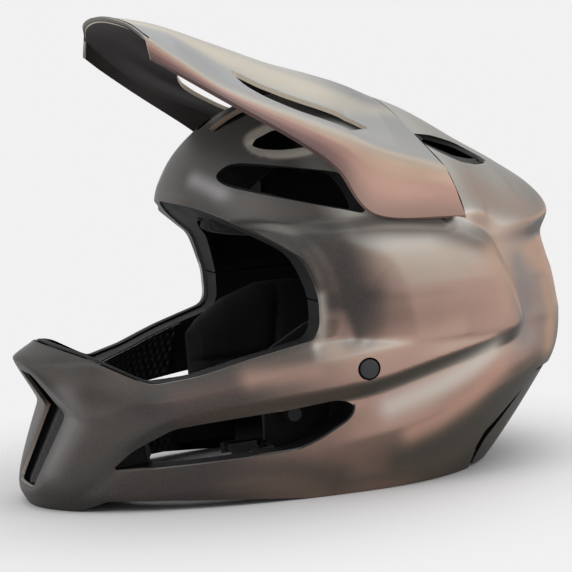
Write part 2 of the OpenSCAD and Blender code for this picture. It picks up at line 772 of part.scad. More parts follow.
outer_shell();
visor();
visor_pivot_pins();
visor_sockets();
crown_liner();
chin_liner();
chin_lining();
slip_liner();
slip_anchors();
crown_pad();
brow_pad();
nape_pad();
cheek_pad_left();
cheek_pad_right();
cheek_studs();
chin_mesh();
crown_mesh();
rear_mesh();
port_trim();
rear_bumper();
strap_caps();
strap_rivets();
strap_left();
strap_right();
strap_loop();
upper_ring();
lower_ring();
strap_keeper();
neck_panel();
neck_screws();
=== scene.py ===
"""Full face downhill helmet: painted shell and visor, foam, lining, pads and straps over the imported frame."""

import logging
import math
from dataclasses import dataclass
from enum import Enum
from typing import Callable, ClassVar, Sequence

import bpy
import numpy as np
from mathutils import Matrix, Vector


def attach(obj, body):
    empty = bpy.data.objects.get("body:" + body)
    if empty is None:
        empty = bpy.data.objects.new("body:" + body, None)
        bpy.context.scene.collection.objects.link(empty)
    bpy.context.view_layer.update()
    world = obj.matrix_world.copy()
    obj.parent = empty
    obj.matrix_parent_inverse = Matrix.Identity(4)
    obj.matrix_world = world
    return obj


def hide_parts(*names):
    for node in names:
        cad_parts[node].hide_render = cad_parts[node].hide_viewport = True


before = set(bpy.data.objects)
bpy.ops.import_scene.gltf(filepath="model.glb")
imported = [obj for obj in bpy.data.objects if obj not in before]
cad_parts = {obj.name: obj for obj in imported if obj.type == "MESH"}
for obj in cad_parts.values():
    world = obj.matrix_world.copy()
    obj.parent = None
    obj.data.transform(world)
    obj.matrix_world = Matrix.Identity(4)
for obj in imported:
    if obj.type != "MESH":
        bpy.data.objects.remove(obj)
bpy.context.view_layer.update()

LOG = logging.getLogger("helmet")
MM = 0.001
Points = np.ndarray
HELMET = "helmet"
VISOR_ARM = "visor_arm"


class Side(Enum):
    """The two sides of the helmet, as the sign of x."""

    LEFT = 1.0
    RIGHT = -1.0


# ---------------------------------------------------------------- form


def cubic(t: Points, a: Points, ma: Points, b: Points, mb: Points, h: Points | float = 1.0) -> Points:
    """Cubic between two values with given slopes.

    Args:
        t: place between the values, 0 to 1.
        a: first value.
        ma: slope at the first value.
        b: second value.
        mb: slope at the second value.
        h: length between the values.

    Returns:
        The values at t.
    """
    return ((2 * t**3 - 3 * t**2 + 1) * a + (t**3 - 2 * t**2 + t) * ma * h
            + (3 * t**2 - 2 * t**3) * b + (t**3 - t**2) * mb * h)


def slopes_of(rows: Points, keys: Points) -> Points:
    """Slope at each row of values.

    Args:
        rows: one row of values for each key.
        keys: rising positions of the rows.

    Returns:
        One row of slopes for each key.
    """
    inner = (rows[2:] - rows[:-2]) / (keys[2:] - keys[:-2])[:, None]
    first = (rows[1] - rows[0]) / (keys[1] - keys[0])
    last = (rows[-1] - rows[-2]) / (keys[-1] - keys[-2])
    return np.vstack([first, inner, last])


def read_rows(rows: Points, slopes: Points, keys: Points, at: Points) -> Points:
    """Read the smooth curve through rows of values.

    Args:
        rows: one row of values for each key.
        slopes: slope at each row.
        keys: rising positions of the rows.
        at: positions to read.

    Returns:
        One row of values for each position.
    """
    i = np.clip(np.searchsorted(keys, at, side="right") - 1, 0, len(keys) - 2)
    h = keys[i + 1] - keys[i]
    t = ((at - keys[i]) / h)[:, None]
    return cubic(t, rows[i], slopes[i], rows[i + 1], slopes[i + 1], h[:, None])


class Lines:
    """Closed form drawn by level lines, each with its reach to front and rear, width and squareness."""

    def __init__(self, rows: Sequence[Sequence[float]]) -> None:
        """Keep the level lines and the latitude of each.

        Args:
            rows: height, front y, rear y, half width, y of the widest point, front and rear squareness.
        """
        self.rows = np.array(rows, float)
        self.top = float(self.rows[-1, 0])
        self.keys = np.degrees(np.arcsin(np.clip(self.rows[:, 0] / self.top, 0, 1)))
        self.slopes = slopes_of(self.rows, self.keys)

    def row(self, k: Points) -> Points:
        """Level line values at latitudes k, in degrees."""
        return read_rows(self.rows, self.slopes, self.keys, k)

    def point(self, k: Points, a: Points) -> Points:
        """Points of the form.

        Args:
            k: latitudes in degrees.
            a: angles in degrees, 0 at the front and 90 on the left.

        Returns:
            One point in millimetres for each pair.
        """
        r = self.row(k)
        s, c = np.sin(np.radians(a)), np.cos(np.radians(a))
        n = np.where(c > 0, r[:, 5], r[:, 6])
        reach = np.where(c > 0, r[:, 4] - r[:, 1], r[:, 2] - r[:, 4])
        q = (np.abs(c) ** n + np.abs(s) ** n) ** (-1 / n)
        return np.stack(
            [r[:, 3] * s * q, r[:, 4] - reach * c * q, self.top * np.sin(np.radians(k))], 1
        )

    def normal(self, k: Points, a: Points) -> Points:
        """Outward directions of the form.

        Args:
            k: latitudes in degrees.
            a: angles in degrees.

        Returns:
            One direction of length 1 for each pair.
        """
        m = np.clip(k, 0.2, 89.4)
        v = np.cross(
            self.point(m, a + 0.6) - self.point(m, a - 0.6),
            self.point(m + 0.4, a) - self.point(m - 0.4, a),
        )
        return v / np.linalg.norm(v, axis=1)[:, None]

    def skin(self, k: Points, a: Points, d: Points | float) -> Points:
        """Points at a distance outside the form.

        Args:
            k: latitudes in degrees.
            a: angles in degrees.
            d: distance in millimetres, negative inside.

        Returns:
            One point for each pair.
        """
        k, a = np.broadcast_arrays(np.asarray(k, float), np.asarray(a, float))
        out = self.point(k, a) + np.atleast_1d(d)[:, None] * self.normal(k, a)
        pole = k >= 89.8
        if pole.any():
            out[pole] = [0, self.rows[-1, 4], self.top]
            out[pole, 2] += np.broadcast_to(np.atleast_1d(d), k.shape)[pole]
        return out

    def side_x(self, y: Points, z: Points) -> Points:
        """Half width of the form.

        Args:
            y: positions from front to rear.
            z: heights.

        Returns:
            One half width for each pair, 0 where the form doesn't reach.
        """
        y, z = np.broadcast_arrays(np.asarray(y, float), np.asarray(z, float))
        r = self.row(np.degrees(np.arcsin(np.clip(z.ravel() / self.top, 0, 1))))
        dy = y.ravel() - r[:, 4]
        n = np.where(dy < 0, r[:, 5], r[:, 6])
        reach = np.where(dy < 0, r[:, 4] - r[:, 1], r[:, 2] - r[:, 4])
        w = np.maximum(0, 1 - np.minimum(1, np.abs(dy) / reach) ** n)
        return (r[:, 3] * w ** (1 / n)).reshape(y.shape)


SHELL = Lines(
    [
        [0, -177, 127, 103, 20, 2.0, 2.0],
        [12, -183, 138, 106, 20, 2.0, 2.05],
        [40, -185, 161, 112, 20, 1.85, 2.1],
        [66, -185, 178.5, 117, 20, 1.7, 2.15],
        [90, -183, 181.5, 119, 20, 1.6, 2.2],
        [100, -167, 180, 120, 22, 1.62, 2.2],
        [117, -140, 176.5, 122, 24, 1.75, 2.2],
        [128, -124, 172.5, 123, 25, 1.85, 2.2],
        [142, -106, 170, 122, 26, 2.0, 2.2],
        [155, -90, 179, 119, 26, 2.15, 2.1],
        [170, -76, 170, 113, 25, 2.2, 2.0],
        [187, -72, 147, 103, 22, 2.2, 2.0],
        [205, -63, 118, 88, 18, 2.1, 2.0],
        [221, -48, 89, 67, 14, 2.0, 2.0],
        [233, -29, 61, 44, 12, 2.0, 2.0],
        [240, -7, 38, 22, 12, 2.0, 2.0],
        [242, 11, 13, 0.5, 12, 2.0, 2.0],
    ]
)
CAVITY = Lines(
    [
        [0, -131, 102, 80, 0, 2.5, 2.1],
        [50, -133, 128, 84, 0, 2.5, 2.1],
        [96, -118, 148, 90, 10, 2.2, 2.1],
        [130, -84, 150, 92, 20, 2.1, 2.1],
        [158, -50, 146, 89, 25, 2.1, 2.1],
        [185, -42, 118, 73, 24, 2.1, 2.0],
        [203, -22, 82, 46, 22, 2.0, 2.0],
        [212, 20, 24, 0.5, 22, 2.0, 2.0],
    ]
)
WALL = 3.2
LINER_GAP = 0.3
SPLIT_Z = 121.0
FAR = 400.0
# Side outlines as y and z, front and top outlines as x and z or x and y
PORT = [(-17, 105), (-17, 122), (-21, 137), (-25, 147), (-39, 158), (-57, 171), (-67, 178),
        (-80, 181), (-260, 192), (-260, 150), (-165, 101), (-147, 94), (-122, 80), (-114, 77),
        (-88, 81), (-60, 89), (-21, 98)]
SLOT = [(-141, 26), (-128, 38), (-105, 50), (-82, 53), (-36, 57), (-11, 60), (-4, 59), (2, 55),
        (-1, 48), (-20, 37), (-33, 32)]
MAIN_VENT = [(-56, 197), (-47, 204), (-31, 202), (8, 195), (14, 188), (18, 171), (8, 174),
             (-39, 187), (-54, 192)]
SMALL_VENT = [(-34, 213), (-30, 218), (-15, 224), (-2, 210), (-17, 209), (-28, 210)]
BLADE = [(64, 213), (82, 210), (103, 203), (126, 190), (112, 190), (96, 194), (82, 201)]
CHIN_VENT = [(13.5, 83), (24, 57), (17.5, 13), (-17.5, 13), (-24, 57), (-13.5, 83)]
REAR_PORT = [(18, 136), (18, 142), (40, 144), (44, 138)]
CROWN_VENT = [(8, -46), (20, -44), (27, -30), (28, -8), (14, -8), (9, -22)]
VISOR_GAP = [(51, -40), (56, -43), (64, -38), (74, -6), (80, 22), (76, 38), (64, 25), (58, -4)]
NECK_SPACE = [(141, 58), (122, 42), (105, 29), (97, 24), (91, 15), (88, 3), (88, -20),
              (FAR, -20), (FAR, 58)]
RAIL_ARCH = [(-160, -1), (-143, 7), (-108, 6), (-60, 3), (-15, -1), (-15, -9), (-160, -9)]
NECK_SHAPE = [(91, 1), (93, 8), (99, 18), (109, 26), (126, 41), (139, 54), (FAR, 54), (FAR, 1)]
# Raised side panel and chin bar: outer rim, and the lines that their facets meet on
POD_RIM = [(-300, 176), (-60, 171), (0, 168), (22, 168), (60, 163.5), (84, 159), (99, 152.5),
           (112, 130), (124, 103), (126.5, 92), (121, 82), (90, 76.5), (60, 71.5), (20, 62.5),
           (-4, 59.5), (-36, 57), (-82, 53), (-105, 50), (-128, 38), (-141, 26), (-160, 8), (-300, 8)]
FACET_FRONT = [(-90, 166), (-3, 156), (26, 143), (34, 129), (39, 106), (41, 92)]
FACET_BASE = [(-60, 89), (-21, 97), (-7, 96), (38, 92), (98, 89), (130, 88)]
UPPER_RIDGE = [(-160, 57), (-143, 59), (-125, 67), (-107, 68), (-83, 72), (-59, 76), (-47, 78),
               (-22, 84), (-7, 86), (36, 91.4), (98, 88.6), (130, 87)]
LOWER_RIDGE = [(-160, 55), (-140, 51), (-119, 54), (-98, 59), (-72, 61), (-48, 65), (-14, 71),
               (5, 74), (35, 76), (60, 79), (98, 84.5), (122, 87)]
BELLY_RIDGE = [(-20, 30), (24, 37), (58, 44), (88, 50), (123, 58), (149, 68), (157, 86),
               (152, 108), (146, 128)]
# Heights of the relief as runs: places along y (or z, or x where named so) and the values there
PANEL_RISE = 4.9
RIDGE_RISE = ([-150, -120, -40, 36, 60, 130], [0.6, 2.6, 3.4, 4.8, 4.6, 4.6])
HEEL_RISE = ([-150, -120, -40, 36, 60, 130], [0.4, 2.2, 3.0, 4.9, 5.6, 5.4])
FACET_RISE = ([-21, -5, 38, 41], [-1.2, -1.0, 4.6, 4.9])
RIM_WIDTH = ([-140, -60, 0, 30], [6.0, 8.0, 9.0, 8.6])
RIM_DIP = ([-150, -60, 0, 20], [-0.4, -1.2, -1.2, -1.2])
BELLY_RISE = ([-30, 10, 40, 160], [0, 1.2, 2.2, 2.2])
GROOVE_DIP = ([-60, 0, 30], [-0.8, -1.2, -1.2])
PANEL_CREST = ([-60, 22, 84, 99], [171, 168, 159, 152])
LIP_RISE_BY_Z = ([99, 110, 150, 175], [0.8, 2.6, 2.2, 1.6])
# Swell behind the visor, by x: where its seam lies, how high it rises and how far back it reaches
SEAM_Y_BY_X = ([0, 34, 66, 80, 94, 104, 112], [62.5, 62.5, 66, 72, 78, 79.5, 79])
SEAM_RISE_BY_X = ([0, 60, 80, 91, 102, 110], [4.1, 3.6, 3.4, 4.4, 5.2, 6.6])
SEAM_REACH_BY_X = ([0, 60, 90, 110], [60, 52, 40, 30])
CAP_Y, CAP_Z, CAP_R = 9.0, 78.0, 5.8
PIVOT_Y, PIVOT_Z = 70.0, 171.0
# Pointed notch of the chin: its apex, how it opens sideways and how its planes lean above and below
NOTCH_APEX_Y, NOTCH_APEX_Z, NOTCH_SPREAD = -157.0, 56.5, 0.04
NOTCH_LEAN_UP, NOTCH_LEAN_DOWN = 0.65, 0.529
# Centres of the cheek pads' press studs and place of the neck panel's screws
STUD_PLACES = ((-28, 50), (44, 50), (26, 100))
SCREW_X, SCREW_Y, SCREW_Z = 46.0, 150.0, 30.0
# Inner faces of the port's lower edge, which the chin bar's upper facet starts from
PORT_FLOOR = [(-165, 101), (-147, 94), (-122, 80), (-114, 77), (-88, 81), (-60, 89), (-21, 98)]
# Painted highlights, shade and shadows laid into the shell's paint, in the hues of its colour shift: lines of y
# and z, width, tone and strength
PAINTED_LIGHT_STROKES = [
    ([(44, 138), (70, 140)], 17, (0.38, 0.33, 0.28), 0.6),
    ([(-8, 160), (-3, 146), (2, 124)], 21, (0.045, 0.041, 0.039), 0.93),
    ([(-24, 156), (-15, 138), (-12, 118)], 7.5, (0.04, 0.037, 0.035), 0.85),
    ([(10, 163), (54, 158), (76, 151), (96, 143)], 6.5, (0.12, 0.10, 0.09), 0.85),
    ([(-80, 184), (-57, 172), (-39, 160)], 6, (0.05, 0.047, 0.044), 0.6),
    ([(-17, 99), (-17, 112), (-18, 124)], 3.2, (0.42, 0.38, 0.33), 0.85),
    ([(-150, 72), (-120, 66)], 8, (0.04, 0.036, 0.034), 0.7),
    ([(-172, 93), (-145, 88)], 8, (0.035, 0.033, 0.031), 0.75),
    ([(-160, 74), (-157, 56), (-172, 25)], 6, (0.17, 0.16, 0.157), 0.75),
    ([(-66, 196), (-58, 188)], 5, (0.32, 0.31, 0.315), 0.8),
    ([(-100, 70), (-66, 75)], 6, (0.14, 0.09, 0.08), 0.6),
    ([(-60, 78), (-22, 80)], 6.5, (0.44, 0.28, 0.225), 0.75),
    ([(-100, 57), (-30, 62), (0, 66)], 5, (0.075, 0.05, 0.038), 0.6),
    ([(-12, 90), (5, 84), (30, 90), (70, 95)], 7, (0.52, 0.36, 0.28), 0.6),
    ([(24, 52), (58, 61), (82, 69), (98, 76)], 7.5, (0.66, 0.60, 0.53), 0.85),
    ([(38, 34), (58, 40), (80, 50), (104, 66)], 7.5, (0.52, 0.31, 0.235), 0.85),
    ([(30, 16), (57, 21), (88, 33), (122, 51)], 9, (0.055, 0.05, 0.042), 0.8),
    ([(-130, 16), (-93, 24), (-40, 21), (-10, 12)], 11, (0.05, 0.042, 0.038), 0.75),
    ([(97, 140), (104, 121), (106, 102)], 7, (0.50, 0.33, 0.24), 0.7),
    ([(122, 130), (128, 104), (124, 82)], 7, (0.24, 0.225, 0.22), 0.7),
    ([(150, 72), (154, 92), (149, 112)], 8, (0.50, 0.31, 0.21), 0.8),
    ([(94, 180), (112, 168), (132, 160)], 11, (0.32, 0.23, 0.18), 0.7),
]


# ---------------------------------------------------------------- outlines


def rounded(outline: Sequence[Sequence[float]], radius: float, steps: int = 5) -> Points:
    """Round the corners of a closed outline.

    Args:
        outline: corner points.
        radius: length kept back from each corner, where the sides allow it.
        steps: points placed on each corner.

    Returns:
        The new points, in order.
    """
    p = np.array(outline, float)
    out = []
    for i in range(len(p)):
        a, b, c = p[i - 1], p[i], p[(i + 1) % len(p)]
        la, lc = np.linalg.norm(a - b), np.linalg.norm(c - b)
        ta, tc = min(radius, 0.45 * la) / la, min(radius, 0.45 * lc) / lc
        s, e = b + (a - b) * ta, b + (c - b) * tc
        for t in np.linspace(0, 1, steps):
            out.append((1 - t) ** 2 * s + 2 * t * (1 - t) * b + t**2 * e)
    return np.array(out)


def grown(outline: Points, g: float | Points) -> Points:
    """Move a closed outline outwards.

    Args:
        outline: its points.
        g: how far each point moves, negative inwards.

    Returns:
        The moved points.
    """
    p = np.array(outline, float)
    a, b = p - np.roll(p, 1, 0), np.roll(p, -1, 0) - p
    area = np.sum(p[:, 0] * np.roll(p[:, 1], -1) - np.roll(p[:, 0], -1) * p[:, 1])
    turn = 1.0 if area > 0 else -1.0
    na = np.stack([a[:, 1], -a[:, 0]], 1) / np.maximum(1e-9, np.linalg.norm(a, axis=1))[:, None]
    nb = np.stack([b[:, 1], -b[:, 0]], 1) / np.maximum(1e-9, np.linalg.norm(b, axis=1))[:, None]
    n = na + nb
    n /= np.maximum(1e-9, np.linalg.norm(n, axis=1))[:, None]
    lean = np.clip(np.sum(n * nb, 1), 0.5, 1)
    return p + turn * n * (np.atleast_1d(g) / lean)[:, None]


def inside_distance(outline: Points, yz: Points) -> Points:
    """Signed distance to a closed outline.

    Args:
        outline: its points.
        yz: points to measure, one row each.

    Returns:
        One distance for each point, positive inside.
    """
    a = np.array(outline, float)
    b = np.roll(a, -1, 0)
    best = np.full(len(yz), 1e9)
    inside = np.zeros(len(yz), bool)
    for p, q in zip(a, b):
        e = q - p
        t = np.clip(((yz - p) @ e) / max(1e-9, e @ e), 0, 1)
        best = np.minimum(best, np.sum((yz - p - t[:, None] * e) ** 2, 1))
        if p[1] != q[1]:
            crosses = (p[1] > yz[:, 1]) != (q[1] > yz[:, 1])
            x = p[0] + (yz[:, 1] - p[1]) / (q[1] - p[1]) * e[0]
            inside ^= crosses & (yz[:, 0] < x)
    return np.where(inside, 1, -1) * np.sqrt(best)


def line_distance(line: Sequence[Sequence[float]], yz: Points) -> Points:
    """Signed distance to an open line.

    Args:
        line: its points, in the order in which it is drawn.
        yz: points to measure, one row each.

    Returns:
        One distance for each point, positive on the line's right hand side.
    """
    best, sign = np.full(len(yz), 1e9), np.ones(len(yz))
    for p, q in zip(np.array(line[:-1], float), np.array(line[1:], float)):
        e = q - p
        t = np.clip(((yz - p) @ e) / (e @ e), 0, 1)
        d = np.sum((yz - p - t[:, None] * e) ** 2, 1)
        right = e[1] * (yz[:, 0] - p[0]) - e[0] * (yz[:, 1] - p[1]) > 0
        near = d < best
        best = np.where(near, d, best)
        sign = np.where(near, np.where(right, 1, -1), sign)
    return sign * np.sqrt(best)


def level(line: Sequence[Sequence[float]], y: Points) -> Points:
    """Height of an open line at positions y."""
    p = np.array(line, float)
    return np.interp(y, p[:, 0], p[:, 1])


def ramp(t: Points) -> Points:
    """Smooth step from 0 to 1."""
    u = np.clip(t, 0, 1)
    return u * u * (3 - 2 * u)


# ---------------------------------------------------------------- bench


def deselect() -> None:
    """Leave nothing selected."""
    if bpy.context.object and bpy.context.object.mode != "OBJECT":
        bpy.ops.object.mode_set(mode="OBJECT")
    bpy.ops.object.select_all(action="DESELECT")


def pick(obj: bpy.types.Object) -> None:
    """Select one object and make it the active one.

    Args:
        obj: the object.
    """
    deselect()
    obj.select_set(True)
    bpy.context.view_layer.objects.active = obj


def lay_mesh(name: str, points: Points, faces: Sequence[Sequence[int]]) -> bpy.types.Object:
    """Make a mesh object from points in millimetres.

    Args:
        name: the piece's name.
        points: one row for each point.
        faces: point numbers of each face.

    Returns:
        The new object, at the origin.
    """
    mesh = bpy.data.meshes.new(name)
    mesh.from_pydata((np.asarray(points) * MM).tolist(), [], [list(map(int, f)) for f in faces])
    mesh.update()
    obj = bpy.data.objects.new(name, mesh)
    bpy.context.collection.objects.link(obj)
    return obj


def outward(obj: bpy.types.Object) -> None:
    """Turn all faces of a closed piece outwards.

    Args:
        obj: the piece.
    """
    pick(obj)
    bpy.ops.object.mode_set(mode="EDIT")
    bpy.ops.mesh.select_all(action="SELECT")
    bpy.ops.mesh.remove_doubles(threshold=1e-7)
    bpy.ops.mesh.normals_make_consistent(inside=False)
    bpy.ops.object.mode_set(mode="OBJECT")


def add_modifier(obj: bpy.types.Object, kind: str, **values: object) -> None:
    """Put a modifier on a piece and apply it.

    Args:
        obj: the piece.
        kind: the modifier's type.
        values: the modifier's own values.
    """
    pick(obj)
    m = obj.modifiers.new(kind.lower(), kind)
    for key, value in values.items():
        setattr(m, key, value)
    bpy.ops.object.modifier_apply(modifier=m.name)


def carve(obj: bpy.types.Object, tool: bpy.types.Object, how: str = "DIFFERENCE") -> None:
    """Cut, keep or join one closed piece with another, which is used up."""
    add_modifier(obj, "BOOLEAN", operation=how, solver="MANIFOLD", object=tool)
    bpy.data.objects.remove(tool)


def shade(obj: bpy.types.Object, angle: float = 30.0) -> None:
    """Smooth a piece but for edges sharper than angle."""
    pick(obj)
    bpy.ops.object.shade_smooth_by_angle(angle=math.radians(angle))


def settle(obj: bpy.types.Object) -> None:
    """Put a primitive's place, turn and size into its mesh."""
    pick(obj)
    bpy.ops.object.transform_apply(location=True, rotation=True, scale=True)


def mirror_pair(obj: bpy.types.Object) -> None:
    """Add the mirror image of a piece to its own mesh."""
    add_modifier(obj, "MIRROR", use_axis=(True, False, False), use_mirror_merge=False)


def closed_body(
    lines: Lines, name: str, d: float, angles: Points, lats: Points, drop: float,
    shape: Callable[[Points, Points], Points] | None = None,
) -> bpy.types.Object:
    """Closed body of a form, open at no side, with its foot at or below the floor.

    Args:
        lines: the form.
        name: the piece's name.
        d: distance outside the form.
        angles: angles of the columns, in degrees.
        lats: latitudes of the rings, in degrees, from 0.
        drop: how far the foot hangs below the floor.
        shape: moves the points, given them and their outward directions.

    Returns:
        The closed piece.
    """
    na, nk = len(angles), len(lats)
    kk, aa = (g.ravel() for g in np.meshgrid(lats, angles, indexing="ij"))
    rings = lines.skin(kk, aa, d)
    if shape is not None:
        rings = shape(rings, lines.normal(kk, aa))
    if drop > 0:
        foot = rings[:na].copy()
        foot[:, 2] = -drop
        rings = np.vstack([foot, rings])
        nk += 1
    else:
        rings[:na, 2] = 0
        rings[:, 2] = np.maximum(rings[:, 2], 0)
    top = lines.skin(np.array([90.0]), np.array([0.0]), d)
    points = np.vstack([rings, top, [[0, 0, -drop]]])
    i = np.arange(na)
    e = (i + 1) % na
    quads = [
        np.stack([j * na + i, j * na + e, (j + 1) * na + e, (j + 1) * na + i], 1)
        for j in range(nk - 1)
    ]
    faces = np.vstack(quads).tolist()
    faces += np.stack([(nk - 1) * na + i, (nk - 1) * na + e, np.full(na, nk * na)], 1).tolist()
    faces += np.stack([e, i, np.full(na, nk * na + 1)], 1).tolist()
    return lay_mesh(name, points, faces)


def even_body(lines: Lines, name: str, d: float, na: int, nk: int, drop: float) -> bpy.types.Object:
    """Closed body of a form on an even net of na columns and nk rings."""
    return closed_body(
        lines, name, d, np.arange(na) * 360 / na, np.arange(nk) * 90 / nk, drop
    )


def slab(name: str, top: Points, low: Points) -> bpy.types.Object:
    """Closed piece between two point nets of the same size.

    Args:
        name: the piece's name.
        top: rows by columns by three.
        low: the facing net.

    Returns:
        The closed piece, its faces turned outwards.
    """
    m, n = top.shape[:2]
    idx = np.arange(m * n).reshape(m, n)
    b = m * n
    a, c, d, e = idx[:-1, :-1], idx[:-1, 1:], idx[1:, 1:], idx[1:, :-1]
    faces = np.stack([a, c, d, e], -1).reshape(-1, 4).tolist()
    faces += (np.stack([e, d, c, a], -1).reshape(-1, 4) + b).tolist()
    ring = np.concatenate([idx[0, :-1], idx[:-1, -1], idx[-1, :0:-1], idx[:0:-1, 0]])
    turn = np.roll(ring, -1)
    faces += np.stack([turn, ring, ring + b, turn + b], 1).tolist()
    obj = lay_mesh(name, np.vstack([top.reshape(-1, 3), low.reshape(-1, 3)]), faces)
    outward(obj)
    return obj


def tube_of_rings(name: str, rings: Sequence[Points], closed: bool = False) -> bpy.types.Object:
    """Closed piece through rings of points.

    Args:
        name: the piece's name.
        rings: rings of as many points each.
        closed: True joins the last ring to the first, and otherwise both ends are capped.

    Returns:
        The closed piece, its faces turned outwards.
    """
    r = np.array(rings)
    m, n = r.shape[:2]
    faces = []
    i = np.arange(n)
    e = (i + 1) % n
    for j in range(m if closed else m - 1):
        f = (j + 1) % m
        faces += np.stack([j * n + i, j * n + e, f * n + e, f * n + i], 1).tolist()
    if not closed:
        faces += [list(range(n - 1, -1, -1)), [(m - 1) * n + k for k in range(n)]]
    obj = lay_mesh(name, r.reshape(-1, 3), faces)
    outward(obj)
    return obj


def side_tool(outline: Points, x0: float, x1: float) -> bpy.types.Object:
    """Cutting prism of a side outline between two x stations."""
    p = np.array(outline, float)
    return tube_of_rings(
        "tool", [np.column_stack([np.full(len(p), x), p]) for x in (x0, x1)]
    )


def top_tool(outline: Points, z0: float, z1: float) -> bpy.types.Object:
    """Cutting prism of a top outline between two heights."""
    p = np.array(outline, float)
    return tube_of_rings("tool", [np.column_stack([p, np.full(len(p), z)]) for z in (z0, z1)])


def front_tool(outline: Points, y0: float, y1: float) -> bpy.types.Object:
    """Cutting prism of a front outline between two y stations."""
    p = np.array(outline, float)
    return tube_of_rings(
        "tool", [np.column_stack([p[:, 0], np.full(len(p), y), p[:, 1]]) for y in (y0, y1)]
    )


def flared_tool(
    outline: Points, side: Side, x_in: float, flare: Points | float, depth: float, lift: float = 0.4
) -> bpy.types.Object:
    """Cutting tool of a side opening whose edge is bevelled down from the surface.

    Args:
        outline: the opening as y and z.
        side: the side it is cut from.
        x_in: the x station where the tool ends inside.
        flare: how far the bevel reaches outside the outline.
        depth: how deep the bevel goes below the surface.
        lift: how far above the surface the bevel begins.

    Returns:
        The closed tool.
    """
    p = np.array(outline, float)
    wide = grown(p, flare)
    rise = relief(np.column_stack([SHELL.side_x(wide[:, 0], wide[:, 1]), wide]))
    xw = SHELL.side_x(wide[:, 0], wide[:, 1]) + rise + lift
    xn = SHELL.side_x(p[:, 0], p[:, 1]) - depth
    rings = [
        np.column_stack([xw + 40, wide]),
        np.column_stack([xw, wide]),
        np.column_stack([xn, p]),
        np.column_stack([np.full(len(p), x_in), p]),
    ]
    for r in rings:
        r[:, 0] *= side.value
    return tube_of_rings("tool", rings)


# ---------------------------------------------------------------- relief


def facet_height(yz: Points) -> Points:
    """Height of the side panel and chin bar facets above the plain form, before their rim is cut.

    Args:
        yz: side positions, one row each.

    Returns:
        One height for each position.
    """
    y, z = yz[:, 0], yz[:, 1]
    up, low = level(UPPER_RIDGE, y), level(LOWER_RIDGE, y)
    front = np.maximum(0, line_distance(FACET_FRONT, yz))
    panel = PANEL_RISE - np.clip(0.165 * np.where(y < 60, front, 0), 0, PANEL_RISE + 1.3)
    panel = np.where(z > 200, 0, panel)
    ridge, heel = np.interp(y, *RIDGE_RISE), np.interp(y, *HEEL_RISE)
    band_top = np.where(y < -21, level(PORT_FLOOR, y), level(FACET_BASE, y))
    t = np.clip((band_top - z) / np.maximum(0.8, band_top - up), 0, 1)
    u = np.clip((up - z) / np.maximum(0.8, up - low), 0, 1)
    start = np.where(y < 41, np.interp(y, *FACET_RISE), panel)
    band = start + (ridge - start) * t
    body = np.where(z > band_top, panel, band)
    return np.where(z < up, ridge + (heel - ridge) * u, body)


def hard_relief(yz: Points) -> Points:
    """Raised panels, lips and grooves of one side, with sharp creases.

    Args:
        yz: side positions, one row each.

    Returns:
        One height above the plain form for each position.
    """
    y, z = yz[:, 0], yz[:, 1]
    inside = inside_distance(POD_RIM_LINE, yz)
    width = np.where(z > 140, 8.0, np.interp(y, *RIM_WIDTH))
    valley = np.interp(y, *RIM_DIP)
    rise = np.clip(inside / width, 0, 1)
    panel = valley + (facet_height(yz) - valley) * rise
    # above the panel the form runs on; below and behind it a groove swells out to the belly ridge
    out = np.maximum(0, -inside)
    ridge = line_distance(BELLY_RIDGE, yz)
    away = np.abs(ridge)
    t = out / np.maximum(0.5, out + away)
    swell, dip = np.interp(y, *BELLY_RISE), np.interp(y, *GROOVE_DIP)
    groove = dip + (swell - dip) * np.clip(t, 0, 1)
    past = (ridge > 0) & (inside < 0)
    groove = np.where(past, swell * np.exp(-((away / 20) ** 2)), groove)
    above = np.interp(z - np.interp(y, *PANEL_CREST), [-4, 0, 10], [0, 1, 1])
    top_zone = (y < 99) & (above > 0.99)
    plain = dip * np.exp(-((out / 7) ** 2))
    outer = np.where(top_zone, plain, groove)
    ahead = np.where(z < 62, 1 - ramp((y + 30) / 44), 0)
    outer = outer + (dip * np.exp(-((out / 4) ** 2)) - outer) * ahead
    d = np.where(inside > 0, panel, outer)
    # lip that runs round the eye port
    edge = np.maximum(0, -inside_distance(PORT_LINE, yz))
    high = np.where(z > 99, np.interp(z, *LIP_RISE_BY_Z), 0.5)
    reach = np.where(z > 99, 9.5, 3.0)
    lip = high * np.clip(1 - (edge - 2.5) / reach, 0, 1)
    return d + lip


def behind_visor(p: Points) -> Points:
    """Swell of the shell that brings it level with the visor along the visor's rear edge.

    Args:
        p: points in millimetres.

    Returns:
        One height for each point.
    """
    y, z, x = p[:, 1], p[:, 2], np.abs(p[:, 0])
    t = y - np.interp(x, *SEAM_Y_BY_X)
    high, reach = np.interp(x, *SEAM_RISE_BY_X), np.interp(x, *SEAM_REACH_BY_X)
    low = ramp((z - 150) / 14)
    return high * low * ramp((t + 15) / 11) * (1 - ramp((t - 4) / reach))


def relief(p: Points) -> Points:
    """Height of the shell's relief above the plain form at points of it.

    Args:
        p: points in millimetres.

    Returns:
        One height for each point.
    """
    yz = p[:, 1:3]
    nudges = [(0, 0, 0.28)] + [
        (r * math.cos(a), r * math.sin(a), w)
        for r, w in ((1.1, 0.07), (2.2, 0.05))
        for a in np.linspace(0, 2 * math.pi, 6, endpoint=False)
    ]
    d = sum(w * hard_relief(yz + np.array([dy, dz])) for dy, dz, w in nudges)
    d /= sum(w for _, _, w in nudges)
    # the relief belongs to the sides and fades where the form turns to the front, rear and crown
    side = ramp((np.abs(p[:, 0]) - np.where(yz[:, 0] < -100, 30, 38)) / 22)
    side *= 1 - ramp((yz[:, 1] - 205) / 12)
    low = ramp((yz[:, 1] - 2) / 10)
    return d * side * low + behind_visor(p)


POD_RIM_LINE = rounded(POD_RIM, 9, 5)
PORT_LINE = rounded(PORT, 5, 4)


